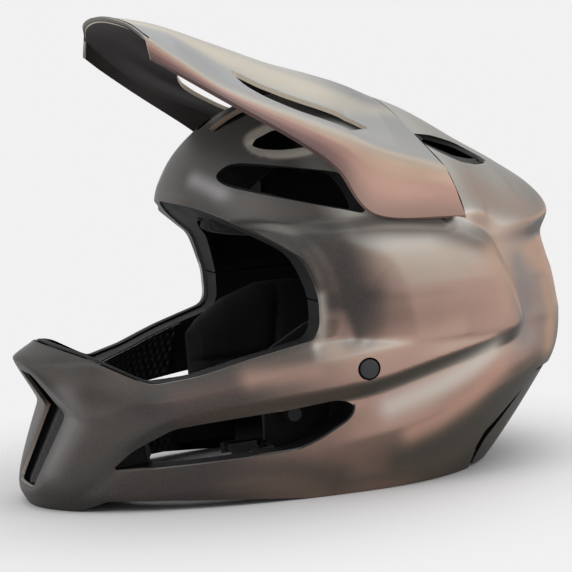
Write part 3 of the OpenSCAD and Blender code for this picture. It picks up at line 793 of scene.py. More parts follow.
def notch_y(x: Points, z: Points) -> Points:
    """Front limit of the chin, drawn in to a pointed notch.

    Args:
        x: positions across the helmet.
        z: heights.

    Returns:
        The foremost y for each pair.
    """
    dz = z - NOTCH_APEX_Z
    soft = np.sqrt(dz**2 + 3.0) - 1.0
    lean = np.where(dz > 0, NOTCH_LEAN_UP, NOTCH_LEAN_DOWN)
    return NOTCH_APEX_Y + NOTCH_SPREAD * np.abs(x) - lean * soft


def shell_shape(p: Points, n: Points) -> Points:
    """Move the plain form's points to the finished outer surface.

    Args:
        p: points of the plain form.
        n: their outward directions.

    Returns:
        The moved points.
    """
    q = p + n * relief(p)[:, None]
    front = (q[:, 1] < -100) & (q[:, 2] < 110)
    limit = notch_y(q[:, 0], q[:, 2])
    edge_radius = 2.2
    gap = q[:, 1] - limit
    blend = 0.5 * (q[:, 1] + limit + np.sqrt(gap**2 + edge_radius**2))
    q[:, 1] = np.where(front, np.where(gap > 12, q[:, 1], blend), q[:, 1])
    return q


def net_angles() -> Points:
    """Column angles of the outer shell, closer together on the sides.

    Returns:
        Angles in degrees, once round.
    """
    a = np.linspace(0, 180, 721)
    w = np.interp(a, [0, 45, 58, 148, 160, 180], [1.0, 1.1, 2.0, 2.0, 1.2, 1.0])
    c = np.concatenate([[0], np.cumsum((w[1:] + w[:-1]) / 2)])
    half = np.interp(np.linspace(0, c[-1], 246), c, a)
    return np.concatenate([half, 360 - half[-2:0:-1]])


def net_lats() -> Points:
    """Ring latitudes of the outer shell, closer together where the panels lie.

    Returns:
        Rising latitudes in degrees.
    """
    z = np.concatenate([np.arange(0, 50, 2.4), np.arange(50, 182, 1.65), np.arange(182, 224, 2.0)])
    k = np.degrees(np.arcsin(z / SHELL.top))
    return np.concatenate([k, np.linspace(k[-1], 89.3, 26)[1:]])


# ---------------------------------------------------------------- finishes


class Graph:
    """A material's or group's node tree, with short calls to add and join nodes."""

    def __init__(self, tree: bpy.types.NodeTree) -> None:
        """Keep the tree."""
        self.tree = tree

    def add(self, kind: str, **values: object) -> bpy.types.Node:
        """Add a node.

        Args:
            kind: the node's type.
            values: its own values or, by socket name, those of its inputs.

        Returns:
            The node.
        """
        node = self.tree.nodes.new(kind)
        for key, value in values.items():
            if hasattr(node, key):
                setattr(node, key, value)
            else:
                node.inputs[key.replace("_", " ")].default_value = value
        return node

    def join(self, a: bpy.types.NodeSocket, b: bpy.types.NodeSocket) -> None:
        """Link an output to an input."""
        self.tree.links.new(a, b)

    def math(self, op: str, a: object, b: object = 0.0, c: object = 0.0) -> bpy.types.NodeSocket:
        """Add a Math node.

        Args:
            op: its operation.
            a: first value, a socket or a number.
            b: second value.
            c: third value.

        Returns:
            Its output.
        """
        node = self.tree.nodes.new("ShaderNodeMath")
        node.operation = op
        for i, v in enumerate((a, b, c)):
            if isinstance(v, bpy.types.NodeSocket):
                self.join(v, node.inputs[i])
            else:
                node.inputs[i].default_value = float(v)
        return node.outputs[0]

    def mix(self, f: object, a: object, b: object) -> bpy.types.NodeSocket:
        """Mix two colours.

        Args:
            f: share of the second, a socket or a number.
            a: first colour, a socket or three numbers.
            b: second colour.

        Returns:
            The mixed colour.
        """
        node = self.tree.nodes.new("ShaderNodeMix")
        node.data_type = "RGBA"
        for i, v in ((0, f), (6, a), (7, b)):
            if isinstance(v, bpy.types.NodeSocket):
                self.join(v, node.inputs[i])
            else:
                node.inputs[i].default_value = float(v) if i == 0 else (*v, 1.0)
        return node.outputs[2]

    def scale(self, value: bpy.types.NodeSocket, lo: float, hi: float, a: float,
              b: float) -> bpy.types.NodeSocket:
        """Carry a value from one range to another, smoothly held at the ends.

        Args:
            value: the value.
            lo: where the first range begins.
            hi: where it ends.
            a: result at lo.
            b: result at hi.

        Returns:
            The carried value.
        """
        node = self.tree.nodes.new("ShaderNodeMapRange")
        node.interpolation_type = "SMOOTHSTEP"
        self.join(value, node.inputs[0])
        for i, v in enumerate((lo, hi, a, b)):
            node.inputs[i + 1].default_value = v
        return node.outputs[0]

    def curve(self, value: bpy.types.NodeSocket,
              stops: Sequence[tuple[float, Sequence[float]]]) -> bpy.types.NodeSocket:
        """Run of tones through the given stops.

        Args:
            value: place on the run, 0 to 1.
            stops: place and colour of each tone.

        Returns:
            The tone at the value.
        """
        node = self.tree.nodes.new("ShaderNodeValToRGB")
        band = node.color_ramp
        band.interpolation = "EASE"
        while len(band.elements) < len(stops):
            band.elements.new(0.5)
        for element, (place, _) in zip(band.elements, stops):
            element.position = place
        for element, (_, colour) in zip(band.elements, stops):
            element.color = (*colour, 1.0)
        self.join(value, node.inputs[0])
        return node.outputs[0]


def start_group(name: str, inputs: Sequence[tuple[str, str, float]], outputs: Sequence[tuple[str, str]],
                ) -> tuple[bpy.types.NodeTree, Graph, bpy.types.Node, bpy.types.Node]:
    """Start a shader node group.

    Args:
        name: the group's name.
        inputs: name, socket kind and default of each input.
        outputs: name and socket kind of each output.

    Returns:
        The group, its graph, its input node and its output node.
    """
    group = bpy.data.node_groups.new(name, "ShaderNodeTree")
    for label, kind, value in inputs:
        socket = group.interface.new_socket(name=label, in_out="INPUT", socket_type=kind)
        if kind == "NodeSocketFloat":
            socket.default_value = value
    for label, kind in outputs:
        group.interface.new_socket(name=label, in_out="OUTPUT", socket_type=kind)
    g = Graph(group)
    return group, g, g.add("NodeGroupInput"), g.add("NodeGroupOutput")


def speckle_group() -> bpy.types.NodeTree:
    """Fine grain and soft mottling in object space, shared by the paints, plastics and foams.

    Returns:
        The group.
    """
    group, g, i, o = start_group(
        "speckle",
        [("Grain size", "NodeSocketFloat", 900.0), ("Mottle size", "NodeSocketFloat", 40.0)],
        [("Grain", "NodeSocketFloat"), ("Mottle", "NodeSocketFloat")],
    )
    place = g.add("ShaderNodeTexCoord").outputs["Object"]
    fine = g.add("ShaderNodeTexNoise", Detail=2.0, Roughness=0.6)
    broad = g.add("ShaderNodeTexNoise", Detail=3.0, Roughness=0.55)
    g.join(place, fine.inputs["Vector"])
    g.join(place, broad.inputs["Vector"])
    g.join(i.outputs[0], fine.inputs["Scale"])
    g.join(i.outputs[1], broad.inputs["Scale"])
    g.join(fine.outputs["Fac"], o.inputs[0])
    g.join(broad.outputs["Fac"], o.inputs[1])
    return group


def facing_group() -> bpy.types.NodeTree:
    """How far a surface faces up, to its own side and to the rear, from -1 to 1, in object space.

    Returns:
        The group.
    """
    group, g, _, o = start_group(
        "facing", [], [("Up", "NodeSocketFloat"), ("Side", "NodeSocketFloat"), ("Rear", "NodeSocketFloat")]
    )
    split = g.add("ShaderNodeSeparateXYZ")
    g.join(g.add("ShaderNodeTexCoord").outputs["Normal"], split.inputs[0])
    g.join(split.outputs["Z"], o.inputs[0])
    g.join(g.math("ABSOLUTE", split.outputs["X"]), o.inputs[1])
    g.join(split.outputs["Y"], o.inputs[2])
    return group


def weave_group() -> bpy.types.NodeTree:
    """Crossing threads from a UV map or from object space, with a height and a mask of the upper thread.

    Returns:
        The group.
    """
    group, g, i, o = start_group(
        "weave",
        [("Vector", "NodeSocketVector", 0.0), ("Threads across", "NodeSocketFloat", 30.0),
         ("Threads along", "NodeSocketFloat", 30.0)],
        [("Height", "NodeSocketFloat"), ("Over", "NodeSocketFloat")],
    )
    split = g.add("ShaderNodeSeparateXYZ")
    g.join(i.outputs[0], split.inputs[0])
    u = g.math("MULTIPLY", split.outputs[0], i.outputs[1])
    v = g.math("MULTIPLY", split.outputs[1], i.outputs[2])
    wu = g.math("ABSOLUTE", g.math("SINE", g.math("MULTIPLY", u, math.pi)))
    wv = g.math("ABSOLUTE", g.math("SINE", g.math("MULTIPLY", v, math.pi)))
    checker = g.math("MODULO", g.math("ADD", g.math("FLOOR", u), g.math("FLOOR", v)), 2.0)
    over = g.math("GREATER_THAN", g.math("ABSOLUTE", checker), 0.5)
    high = g.math("ADD", g.math("MULTIPLY", wu, over), g.math("MULTIPLY", wv, g.math("SUBTRACT", 1.0, over)))
    g.join(high, o.inputs[0])
    g.join(over, o.inputs[1])
    return group


@dataclass(frozen=True)
class Finish:
    """A plain procedural finish: two tones, grain and a bump."""

    name: str
    slot: str
    tone: tuple[float, float, float]
    second: tuple[float, float, float]
    rough: float = 0.5
    metallic: float = 0.0
    grain: float = 900.0
    mottle: float = 40.0
    bump: float = 0.1
    bump_reach: float = 0.0002
    sheen: float = 0.0
    coat: float = 0.0
    gloss: float = 0.25

    def start(self) -> tuple[bpy.types.Material, Graph, bpy.types.Node]:
        """Make the material with its shader and output.

        Returns:
            The material, its graph and its shader.
        """
        mat = bpy.data.materials.new(self.name)
        mat.use_nodes = True
        mat.node_tree.nodes.clear()
        g = Graph(mat.node_tree)
        shader = g.add("ShaderNodeBsdfPrincipled")
        shader.inputs["Metallic"].default_value = self.metallic
        shader.inputs["Specular IOR Level"].default_value = self.gloss
        shader.inputs["Sheen Weight"].default_value = self.sheen
        shader.inputs["Sheen Roughness"].default_value = 0.5
        shader.inputs["Coat Weight"].default_value = self.coat
        shader.inputs["Coat Roughness"].default_value = 0.3
        g.join(shader.outputs[0], g.add("ShaderNodeOutputMaterial").inputs[0])
        return mat, g, shader

    def speckle(self, g: Graph) -> bpy.types.Node:
        """Place the shared grain with this finish's sizes.

        Args:
            g: the material's graph.

        Returns:
            The group's node.
        """
        node = g.add("ShaderNodeGroup", node_tree=bpy.data.node_groups["speckle"])
        node.inputs[0].default_value = self.grain
        node.inputs[1].default_value = self.mottle
        return node

    def finish(self, g: Graph, shader: bpy.types.Node, colour: bpy.types.NodeSocket,
               height: bpy.types.NodeSocket, rough: bpy.types.NodeSocket) -> None:
        """Feed the shader.

        Args:
            g: the material's graph.
            shader: its shader.
            colour: the colour.
            height: what the bump rises with.
            rough: what the roughness wavers with.
        """
        g.join(colour, shader.inputs["Base Color"])
        g.join(g.scale(rough, 0.25, 0.75, max(0.05, self.rough - 0.06), min(1, self.rough + 0.06)),
               shader.inputs["Roughness"])
        bump = g.add("ShaderNodeBump", Strength=self.bump, Distance=self.bump_reach)
        g.join(height, bump.inputs["Height"])
        g.join(bump.outputs[0], shader.inputs["Normal"])

    def build(self) -> bpy.types.Material:
        """Make the material.

        Returns:
            The material.
        """
        mat, g, shader = self.start()
        s = self.speckle(g)
        colour = g.mix(g.scale(s.outputs["Mottle"], 0.35, 0.65, 0, 1), self.tone, self.second)
        colour = g.mix(g.scale(s.outputs["Grain"], 0.4, 0.75, 0, 0.5), colour, self.second)
        self.finish(g, shader, colour, s.outputs["Grain"], s.outputs["Mottle"])
        return mat


Stops = tuple[tuple[float, tuple[float, float, float]], ...]
# Runs of tones from faces turned down (0) to faces turned up (1): the paint's own hues, with painted shade where
# faces turn down and painted highlight where they turn partly up; the front run is darker throughout, painted
# shade on faces that turn forward
SIDE_STOPS: Stops = (
    (0.0, (0.022, 0.020, 0.017)), (0.22, (0.045, 0.040, 0.032)), (0.33, (0.085, 0.070, 0.053)),
    (0.40, (0.20, 0.13, 0.10)), (0.46, (0.46, 0.29, 0.235)), (0.51, (0.50, 0.36, 0.29)),
    (0.57, (0.52, 0.42, 0.345)), (0.64, (0.62, 0.585, 0.54)), (0.8, (0.36, 0.345, 0.315)),
    (1.0, (0.34, 0.33, 0.30)))
# The visor's runs go from the spine (0) to the lower edge (1), and darken at the edge as painted shade
VISOR_STOPS: Stops = (
    (0.0, (0.40, 0.385, 0.355)), (0.24, (0.42, 0.40, 0.36)), (0.36, (0.52, 0.48, 0.40)),
    (0.47, (0.36, 0.36, 0.35)), (0.54, (0.33, 0.335, 0.34)), (0.70, (0.34, 0.335, 0.33)),
    (0.76, (0.44, 0.40, 0.34)), (0.81, (0.42, 0.30, 0.23)), (0.87, (0.30, 0.17, 0.145)),
    (0.94, (0.15, 0.085, 0.08)), (1.0, (0.11, 0.065, 0.06)))
VISOR_REAR_STOPS: Stops = (
    (0.0, (0.20, 0.20, 0.195)), (0.24, (0.22, 0.22, 0.21)), (0.36, (0.36, 0.34, 0.30)),
    (0.47, (0.27, 0.27, 0.265)), (0.70, (0.32, 0.315, 0.30)), (0.75, (0.46, 0.38, 0.30)),
    (0.80, (0.50, 0.34, 0.255)), (0.87, (0.46, 0.28, 0.22)), (1.0, (0.30, 0.19, 0.155)))
FRONT_STOPS: Stops = (
    (0.0, (0.012, 0.011, 0.010)), (0.3, (0.028, 0.025, 0.023)), (0.5, (0.062, 0.056, 0.053)),
    (0.6, (0.11, 0.092, 0.082)), (0.7, (0.075, 0.07, 0.066)), (0.9, (0.06, 0.058, 0.055)),
    (1.0, (0.09, 0.088, 0.08)))
REAR_STOPS: Stops = (
    (0.0, (0.022, 0.020, 0.017)), (0.3, (0.05, 0.045, 0.037)), (0.42, (0.10, 0.085, 0.072)),
    (0.5, (0.22, 0.20, 0.195)), (0.58, (0.48, 0.30, 0.21)), (0.70, (0.26, 0.205, 0.17)),
    (0.86, (0.15, 0.14, 0.125)), (1.0, (0.17, 0.16, 0.145)))


@dataclass(frozen=True)
class ShiftPaintAndShade(Finish):
    """Matte flake paint whose colour turns with the way the surface faces: partly the paint's own colour shift,
    partly painted shade where faces turn down or forward and painted highlight where they turn partly up.
    """

    side: Stops = SIDE_STOPS
    front: Stops = FRONT_STOPS
    rear: Stops = REAR_STOPS
    front_band: tuple[float, float] = (-0.34, -0.10)
    rear_band: tuple[float, float] = (0.30, 0.72)

    def build(self) -> bpy.types.Material:
        """Make the paint: each of side, front and rear has its own run of tones from below to above, which holds
        painted shade and highlight as well as the paint's hues.

        Returns:
            The material.
        """
        mat, g, shader = self.start()
        s = self.speckle(g)
        way = g.add("ShaderNodeGroup", node_tree=bpy.data.node_groups["facing"])
        jitter = g.math("MULTIPLY", g.math("SUBTRACT", s.outputs["Mottle"], 0.5), 0.05)
        turn = g.math("MULTIPLY_ADD", g.math("ADD", way.outputs["Up"], jitter), 0.5, 0.5)
        back = g.scale(way.outputs["Rear"], *self.rear_band, 0, 1)
        ahead = g.scale(way.outputs["Rear"], *self.front_band, 1, 0)
        # painted shade on faces that look straight ahead
        nose_shade = g.scale(way.outputs["Rear"], -0.8, -0.4, 0.45, 0)
        colour = g.mix(back, g.curve(turn, self.side), g.curve(turn, self.rear))
        colour = g.mix(ahead, colour, g.curve(turn, self.front))
        colour = g.mix(nose_shade, colour, (0.05, 0.048, 0.044))
        # painted highlights and shade stored on the shell's points
        painted_light = g.add("ShaderNodeAttribute", attribute_name="painted_light")
        colour = g.mix(painted_light.outputs["Alpha"], colour, painted_light.outputs["Color"])
        self.flakes(g, shader, colour, s)
        return mat

    def flakes(self, g: Graph, shader: bpy.types.Node, colour: bpy.types.NodeSocket, s: bpy.types.Node) -> None:
        """Add the pale and dark flakes and finish the paint.

        Args:
            g: the material's graph.
            shader: its shader.
            colour: the paint's tone.
            s: the node of the shared grain.
        """
        colour = g.mix(g.scale(s.outputs["Grain"], 0.5, 0.8, 0, 0.12), colour, (0.75, 0.66, 0.56))
        colour = g.mix(g.scale(s.outputs["Grain"], 0.2, 0.5, 0.16, 0), colour, (0.03, 0.027, 0.024))
        self.finish(g, shader, colour, s.outputs["Grain"], s.outputs["Grain"])


@dataclass(frozen=True)
class FlowPaint(ShiftPaintAndShade):
    """The same paint on the visor, its tones running from the spine out to each edge along the UV map, with
    painted shade on the lip's front face and a painted highlight along its edge.
    """

    def build(self) -> bpy.types.Material:
        """Make the paint.

        Returns:
            The material.
        """
        mat, g, shader = self.start()
        s = self.speckle(g)
        split = g.add("ShaderNodeSeparateXYZ")
        g.join(g.add("ShaderNodeTexCoord").outputs["UV"], split.inputs[0])
        jitter = g.math("MULTIPLY", g.math("SUBTRACT", s.outputs["Mottle"], 0.5), 0.02)
        across = g.math("ADD", split.outputs[1], jitter)
        back = g.scale(split.outputs[0], 0.55, 0.85, 0, 1)
        colour = g.mix(back, g.curve(across, self.side), g.curve(across, self.rear))
        # painted shade on the front face of the rolled lip, and a painted highlight along the lip's edge
        lip = g.math("MULTIPLY", g.scale(split.outputs[0], 0.03, 0.06, 1, 0), g.scale(across, 0.66, 0.74, 1, 0))
        edge = g.scale(split.outputs[0], 0.004, 0.012, 1, 0)
        colour = g.mix(lip, colour, (0.14, 0.13, 0.12))
        self.flakes(g, shader, g.mix(edge, colour, (0.52, 0.46, 0.37)), s)
        return mat


@dataclass(frozen=True)
class Weave(Finish):
    """Woven or knitted cloth with crossing threads."""

    across: float = 900.0
    along: float = 900.0
    from_uv: bool = False

    def build(self) -> bpy.types.Material:
        """Make the cloth.

        Returns:
            The material.
        """
        mat, g, shader = self.start()
        s = self.speckle(g)
        coord = g.add("ShaderNodeTexCoord")
        w = g.add("ShaderNodeGroup", node_tree=bpy.data.node_groups["weave"])
        if self.from_uv:
            g.join(coord.outputs["UV"], w.inputs[0])
        else:
            turned = g.add("ShaderNodeMapping")
            turned.inputs["Rotation"].default_value = (0.5, 0.9, 0.6)
            g.join(coord.outputs["Object"], turned.inputs[0])
            g.join(turned.outputs[0], w.inputs[0])
        w.inputs[1].default_value = self.across
        w.inputs[2].default_value = self.along
        colour = g.mix(g.scale(w.outputs["Height"], 0.1, 0.9, 0, 1), self.second, self.tone)
        colour = g.mix(g.scale(s.outputs["Mottle"], 0.4, 0.7, 0, 0.25), colour, self.second)
        self.finish(g, shader, colour, w.outputs["Height"], s.outputs["Mottle"])
        return mat


@dataclass(frozen=True)
class BeadFoam(Finish):
    """Moulded bead foam: packed cells with dark seams."""

    def build(self) -> bpy.types.Material:
        """Make the foam.

        Returns:
            The material.
        """
        mat, g, shader = self.start()
        s = self.speckle(g)
        cells = g.add("ShaderNodeTexVoronoi", feature="DISTANCE_TO_EDGE", Scale=self.grain)
        g.join(g.add("ShaderNodeTexCoord").outputs["Object"], cells.inputs["Vector"])
        seam = g.scale(cells.outputs["Distance"], 0.0, 0.12, 0, 1)
        colour = g.mix(seam, self.second, self.tone)
        self.finish(g, shader, colour, seam, s.outputs["Mottle"])
        return mat


@dataclass(frozen=True)
class GuardMesh(Finish):
    """Woven guard mesh: dark cells between round strands."""

    pitch: float = 420.0

    def build(self) -> bpy.types.Material:
        """Make the mesh.

        Returns:
            The material.
        """
        mat, g, shader = self.start()
        s = self.speckle(g)
        cells = g.add("ShaderNodeTexVoronoi", feature="DISTANCE_TO_EDGE", Scale=self.pitch, Randomness=0.12)
        g.join(g.add("ShaderNodeTexCoord").outputs["Object"], cells.inputs["Vector"])
        strand = g.scale(cells.outputs["Distance"], 0.1, 0.2, 1, 0)
        colour = g.mix(strand, self.second, self.tone)
        self.finish(g, shader, colour, strand, s.outputs["Mottle"])
        return mat


class Finishes:
    """All finishes of the helmet, made once."""

    def __init__(self) -> None:
        """Make the shared groups and every material."""
        speckle_group()
        facing_group()
        weave_group()
        dark = (0.012, 0.012, 0.013)
        # black, soot, coal and the foam's tones are darker than black foam, cloth and rubber alone: partly their
        # own black, partly painted shade of the helmet's dim inside
        black, soot, coal = (0.006, 0.006, 0.007), (0.002, 0.002, 0.003), (0.012, 0.012, 0.013)
        paint = dict(rough=0.46, metallic=0.3, grain=2600, mottle=26, bump=0.06, bump_reach=0.0001)
        foam = dict(tone=(0.004, 0.004, 0.005), second=(0.002, 0.002, 0.002), rough=0.75, grain=330, bump=0.35,
                    bump_reach=0.0004)
        knit = dict(tone=black, second=soot, rough=0.88, sheen=0.05, bump=0.5, bump_reach=0.0003)
        steel = dict(metallic=1.0, grain=2000)
        listed = [
            ShiftPaintAndShade("shell_paint", "shell_paint", dark, dark, **paint),
            FlowPaint("visor_paint", "visor_paint", dark, dark, side=VISOR_STOPS, rear=VISOR_REAR_STOPS, **paint),
            ShiftPaintAndShade("panel_paint", "panel_paint", dark, dark, **paint),
            Finish("visor_underside", "visor_paint", (0.020, 0.0155, 0.0155), (0.032, 0.024, 0.024), 0.6,
                   bump=0.15),
            Finish("shell_inside", "shell_paint", black, (0.010, 0.010, 0.011), 0.7, bump=0.2),
            BeadFoam("crown_foam", "crown_foam", **foam),
            BeadFoam("chin_foam", "chin_foam", **foam),
            Finish("lining_rubber", "lining_rubber", (0.007, 0.007, 0.008), coal, 0.5, bump=0.2),
            Finish("slip_plastic", "slip_plastic", (0.005, 0.005, 0.006), (0.007, 0.007, 0.008), 0.5, bump=0.1),
            Finish("anchor_rubber", "anchor_rubber", (0.03, 0.03, 0.03), (0.045, 0.045, 0.045), 0.7),
            Weave("pad_knit", "cheek_fabric", across=1100, along=1100, **knit),
            Weave("crown_knit", "crown_fabric", across=1000, along=1000, **knit),
            Finish("stud_plastic", "stud_plastic", (0.010, 0.010, 0.010), (0.015, 0.015, 0.015), 0.5),
            GuardMesh("guard_mesh", "mesh_plastic", coal, (0.001, 0.001, 0.001), 0.5, bump=0.9, bump_reach=0.0006),
            Finish("trim_rubber", "trim_rubber", (0.004, 0.004, 0.004), (0.006, 0.006, 0.006), 0.7, bump=0.15),
            Finish("bumper_rubber", "bumper_rubber", (0.05, 0.046, 0.038), (0.07, 0.064, 0.052), 0.65, bump=0.3),
            Finish("cap_plastic", "cap_plastic", (0.034, 0.034, 0.038), (0.042, 0.042, 0.047), 0.5, bump=0.15),
            Finish("rivet_steel", "rivet_steel", (0.45, 0.45, 0.46), (0.55, 0.55, 0.56), 0.35, bump=0.05, **steel),
            Finish("ring_steel", "ring_steel", (0.52, 0.52, 0.53), (0.62, 0.62, 0.63), 0.28, bump=0.04, **steel),
            Finish("screw_steel", "screw_steel", (0.10, 0.10, 0.10), (0.14, 0.14, 0.14), 0.4, bump=0.05, **steel),
            Finish("keeper_rubber", "keeper_rubber", (0.008, 0.008, 0.008), (0.012, 0.012, 0.012), 0.6),
            Finish("pin_plastic", "pin_plastic", (0.05, 0.05, 0.05), (0.06, 0.06, 0.06), 0.4),
            Finish("socket_plastic", "socket_plastic", (0.04, 0.04, 0.04), (0.05, 0.05, 0.05), 0.5),
            Weave("webbing", "webbing", (0.010, 0.010, 0.011), (0.003, 0.003, 0.004), 0.8, sheen=0.08,
                  across=10, along=260, from_uv=True, bump=0.6, bump_reach=0.0003),
        ]
        self.made = {f.name: (f.build(), f.slot) for f in listed}

    def dress(self, obj: bpy.types.Object, name: str) -> None:
        """Give a piece one finish.

        Args:
            obj: the piece.
            name: the finish.
        """
        mat, slot = self.made[name]
        obj.data.materials.clear()
        obj.data.materials.append(mat)

    def dress_node(self, node: str, name: str) -> None:
        """Give a CAD node one finish through its own material slots.

        Args:
            node: the node.
            name: the finish.
        """
        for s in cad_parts[node].material_slots:
            s.material = self.made[name][0]


# ---------------------------------------------------------------- shell


@dataclass(frozen=True)
class SideOpening:
    """An opening cut from the side, with the bevel that its edge has in the shell."""

    outline: Sequence[Sequence[float]]
    corner: float
    inner_x: float
    shrink: float
    flare: float
    depth: float


SIDE_OPENINGS = (
    SideOpening(SLOT, 5, 52, 0.0, 0.8, 0.8),
    SideOpening(MAIN_VENT, 6, 40, -1.0, 2.0, 7.0),
    SideOpening(SMALL_VENT, 4, 38, -1.2, 4.2, 4.6),
    SideOpening(BLADE, 4, 30, -2.4, 3.2, 3.6),
)


def openings(g: float, v: float, bevels: bool) -> list[bpy.types.Object]:
    """Tools of every opening through shell or foam.

    Args:
        g: how much wider the plain openings are than in the shell.
        v: how much wider the openings that carry a mesh are.
        bevels: True in the shell, whose vents have bevelled edges.

    Returns:
        Closed tools.
    """
    tools = [side_tool(grown(rounded(PORT, 5, 5), g), -FAR, FAR)]
    for side in Side:
        s = side.value
        for o in SIDE_OPENINGS:
            if bevels:
                edge = grown(rounded(o.outline, o.corner, 5), o.shrink)
                tools.append(flared_tool(edge, side, o.inner_x, o.flare, o.depth))
            else:
                edge = grown(rounded(o.outline, o.corner, 4), g)
                tools.append(side_tool(edge, *sorted((o.inner_x * s, FAR * s))))
        crown = np.array(CROWN_VENT, float) * [s, 1]
        tools.append(top_tool(grown(rounded(crown, 4, 4), v), 150, 350))
        port = np.array(REAR_PORT, float) * [s, 1]
        tools.append(front_tool(grown(rounded(port, 2, 4), 2 + v), 60, 300))
    tools.append(front_tool(grown(rounded(CHIN_VENT, 4, 4), v), -300, -100))
    return tools


@dataclass
class OuterShell:
    """The moulded shell with its neck panel, trims, bumper and strap anchor caps."""

    finishes: Finishes
    wall: float = WALL
    hole_play: float = 1.2
    rivet_hole: float = 3.1
    pivot_hole: float = 7.2
    trim_depth: float = 6.5
    trim_wall: float = 0.6
    strip_turn: tuple[float, float] = (166.0, 194.0)
    strip_rise: tuple[float, float] = (17.0, 29.0)
    strip_thick: float = 2.0
    rib_high: float = 0.35

    def body(self) -> None:
        """Build the shell: dense outer form with relief, hollowed and cut."""
        shell = closed_body(SHELL, "shell_body", 0, net_angles(), net_lats(), 0, shell_shape)
        core = even_body(SHELL, "tool", -self.wall, 96, 40, 8)
        notch = closed_notch(self.wall)
        carve(core, notch)
        carve(shell, core)
        carve(shell, Visor(self.finishes).clearance())
        for tool in openings(0, 0, True):
            carve(shell, tool)
        carve(shell, side_tool(NECK_SPACE, -FAR, FAR))
        carve(shell, side_tool(RAIL_ARCH, -FAR, FAR))
        seat = float(SHELL.side_x(CAP_Y, CAP_Z)) - 0.2
        for side in Side:
            for y, z, r, x in ((CAP_Y, CAP_Z, CAP_R + self.hole_play, seat),
                               (CAP_Y, CAP_Z, self.rivet_hole, 60), (PIVOT_Y, PIVOT_Z, self.pivot_hole, 60)):
                carve(shell, round_tool(side, x, y, z, r, 90))
        shade(shell, 32)
        self.finishes.dress(shell, "shell_paint")
        shell.data.materials.append(self.finishes.made["shell_inside"][0])
        inside_faces(shell)
        lay_painted_light(shell)
        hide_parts("outer_shell")
        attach(shell, HELMET)

    def neck(self) -> None:
        """Build the separate lower panel at the nape."""
        panel = even_body(SHELL, "nape_panel", -0.4, 160, 60, 8)
        carve(panel, even_body(SHELL, "tool", -3.0, 96, 40, 9))
        carve(panel, side_tool(rounded(NECK_SHAPE, 3, 4), -FAR, FAR), "INTERSECT")
        for side in Side:
            carve(panel, primitive_cylinder("tool", 1.8, 100, (SCREW_X * side.value, SCREW_Y, SCREW_Z), "Y"))
        shade(panel, 32)
        self.finishes.dress(panel, "panel_paint")
        lay_painted_light(panel)
        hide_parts("neck_panel")
        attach(panel, HELMET)

    def trim(self) -> None:
        """Build the soft edging that lines the eye port."""
        line = rounded(PORT, 5, 5)
        keep = [p for p in resample(line, 1.2) if SHELL.side_x(p[0], p[1]) > 0.5]
        path = np.array(keep)
        start = int(np.argmax(np.linalg.norm(np.diff(np.vstack([path, path[:1]]), axis=0), axis=1))) + 1
        path = np.roll(path, -start, 0)
        x = SHELL.side_x(path[:, 0], path[:, 1])
        whole = np.vstack([np.column_stack([x, path]), np.column_stack([-x, path])[::-1]])
        whole = resample(whole, 2.0)
        flat = whole[:, 1:3]
        inward = -outline_way(line, flat)
        rings = []
        for p, (ey, ez) in zip(whole, inward):
            s = np.array([0, ey, ez])
            out = level_way(p)
            ring = []
            deep, over = self.trim_depth, self.trim_wall
            for down, wide in ((2.4, 0.1), (2.4, 0.3), (2.8, over), (deep, over), (deep + 0.4, 0.4), (deep, 0.1)):
                ring.append(p - out * down + s * wide)
            rings.append(ring)
        edge = tube_of_rings("port_edge", rings, closed=True)
        shade(edge, 50)
        self.finishes.dress(edge, "trim_rubber")
        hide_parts("port_trim")
        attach(edge, HELMET)

    def bumper(self) -> None:
        """Build the soft strip on the rear with its moulded ribs."""
        (a0, a1), (k0, k1) = self.strip_turn, self.strip_rise
        u, v = np.meshgrid(np.linspace(a0, a1, 57), np.linspace(k0, k1, 29), indexing="ij")
        f = ramp(np.minimum(v - k0, k1 - v) / 1.6) * ramp(np.minimum(u - a0, a1 - u) / 2.5)
        ribs = self.rib_high * (np.cos((u - 180) * math.pi / 2.0) > 0.2)
        top = SHELL.skin(v.ravel(), u.ravel(), (0.35 + (self.strip_thick + ribs) * f).ravel())
        low = SHELL.skin(v.ravel(), u.ravel(), np.full(v.size, 0.1))
        strip = slab("rear_strip", top.reshape(*u.shape, 3), low.reshape(*u.shape, 3))
        shade(strip, 40)
        self.finishes.dress(strip, "bumper_rubber")
        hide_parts("rear_bumper")
        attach(strip, HELMET)

    def caps(self) -> None:
        """Build the round caps over the strap anchors, slightly domed with a soft edge."""
        x = float(SHELL.side_x(CAP_Y, CAP_Z)) + 4.2
        cap = primitive_cylinder("anchor_cap", CAP_R, 2.6, (x, CAP_Y, CAP_Z), "X", 64)
        add_modifier(cap, "BEVEL", width=0.0007, segments=3, limit_method="ANGLE")
        mirror_pair(cap)
        shade(cap, 40)
        self.finishes.dress(cap, "cap_plastic")
        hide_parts("strap_caps")
        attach(cap, HELMET)

    def build(self) -> None:
        """Build all pieces of the outer shell."""
        for step in (self.body, self.neck, self.trim, self.bumper, self.caps):
            step()
            LOG.info("outer shell: %s", step.__name__)


def closed_notch(d: float) -> bpy.types.Object:
    """Solid wedge in front of the chin's notch planes.

    Args:
        d: how far the planes are pushed in.

    Returns:
        The closed wedge.
    """
    rings, tall, deep = [], 80, 120
    low, high = NOTCH_APEX_Z - tall, NOTCH_APEX_Z + tall
    for x in (-112, 0, 112):
        a = NOTCH_APEX_Y + NOTCH_SPREAD * abs(x) + d
        rings.append([[x, a, NOTCH_APEX_Z], [x, a - NOTCH_LEAN_UP * tall, high], [x, a - deep, high],
                      [x, a - deep, low], [x, a - NOTCH_LEAN_DOWN * tall, low]])
    return tube_of_rings("tool", rings)


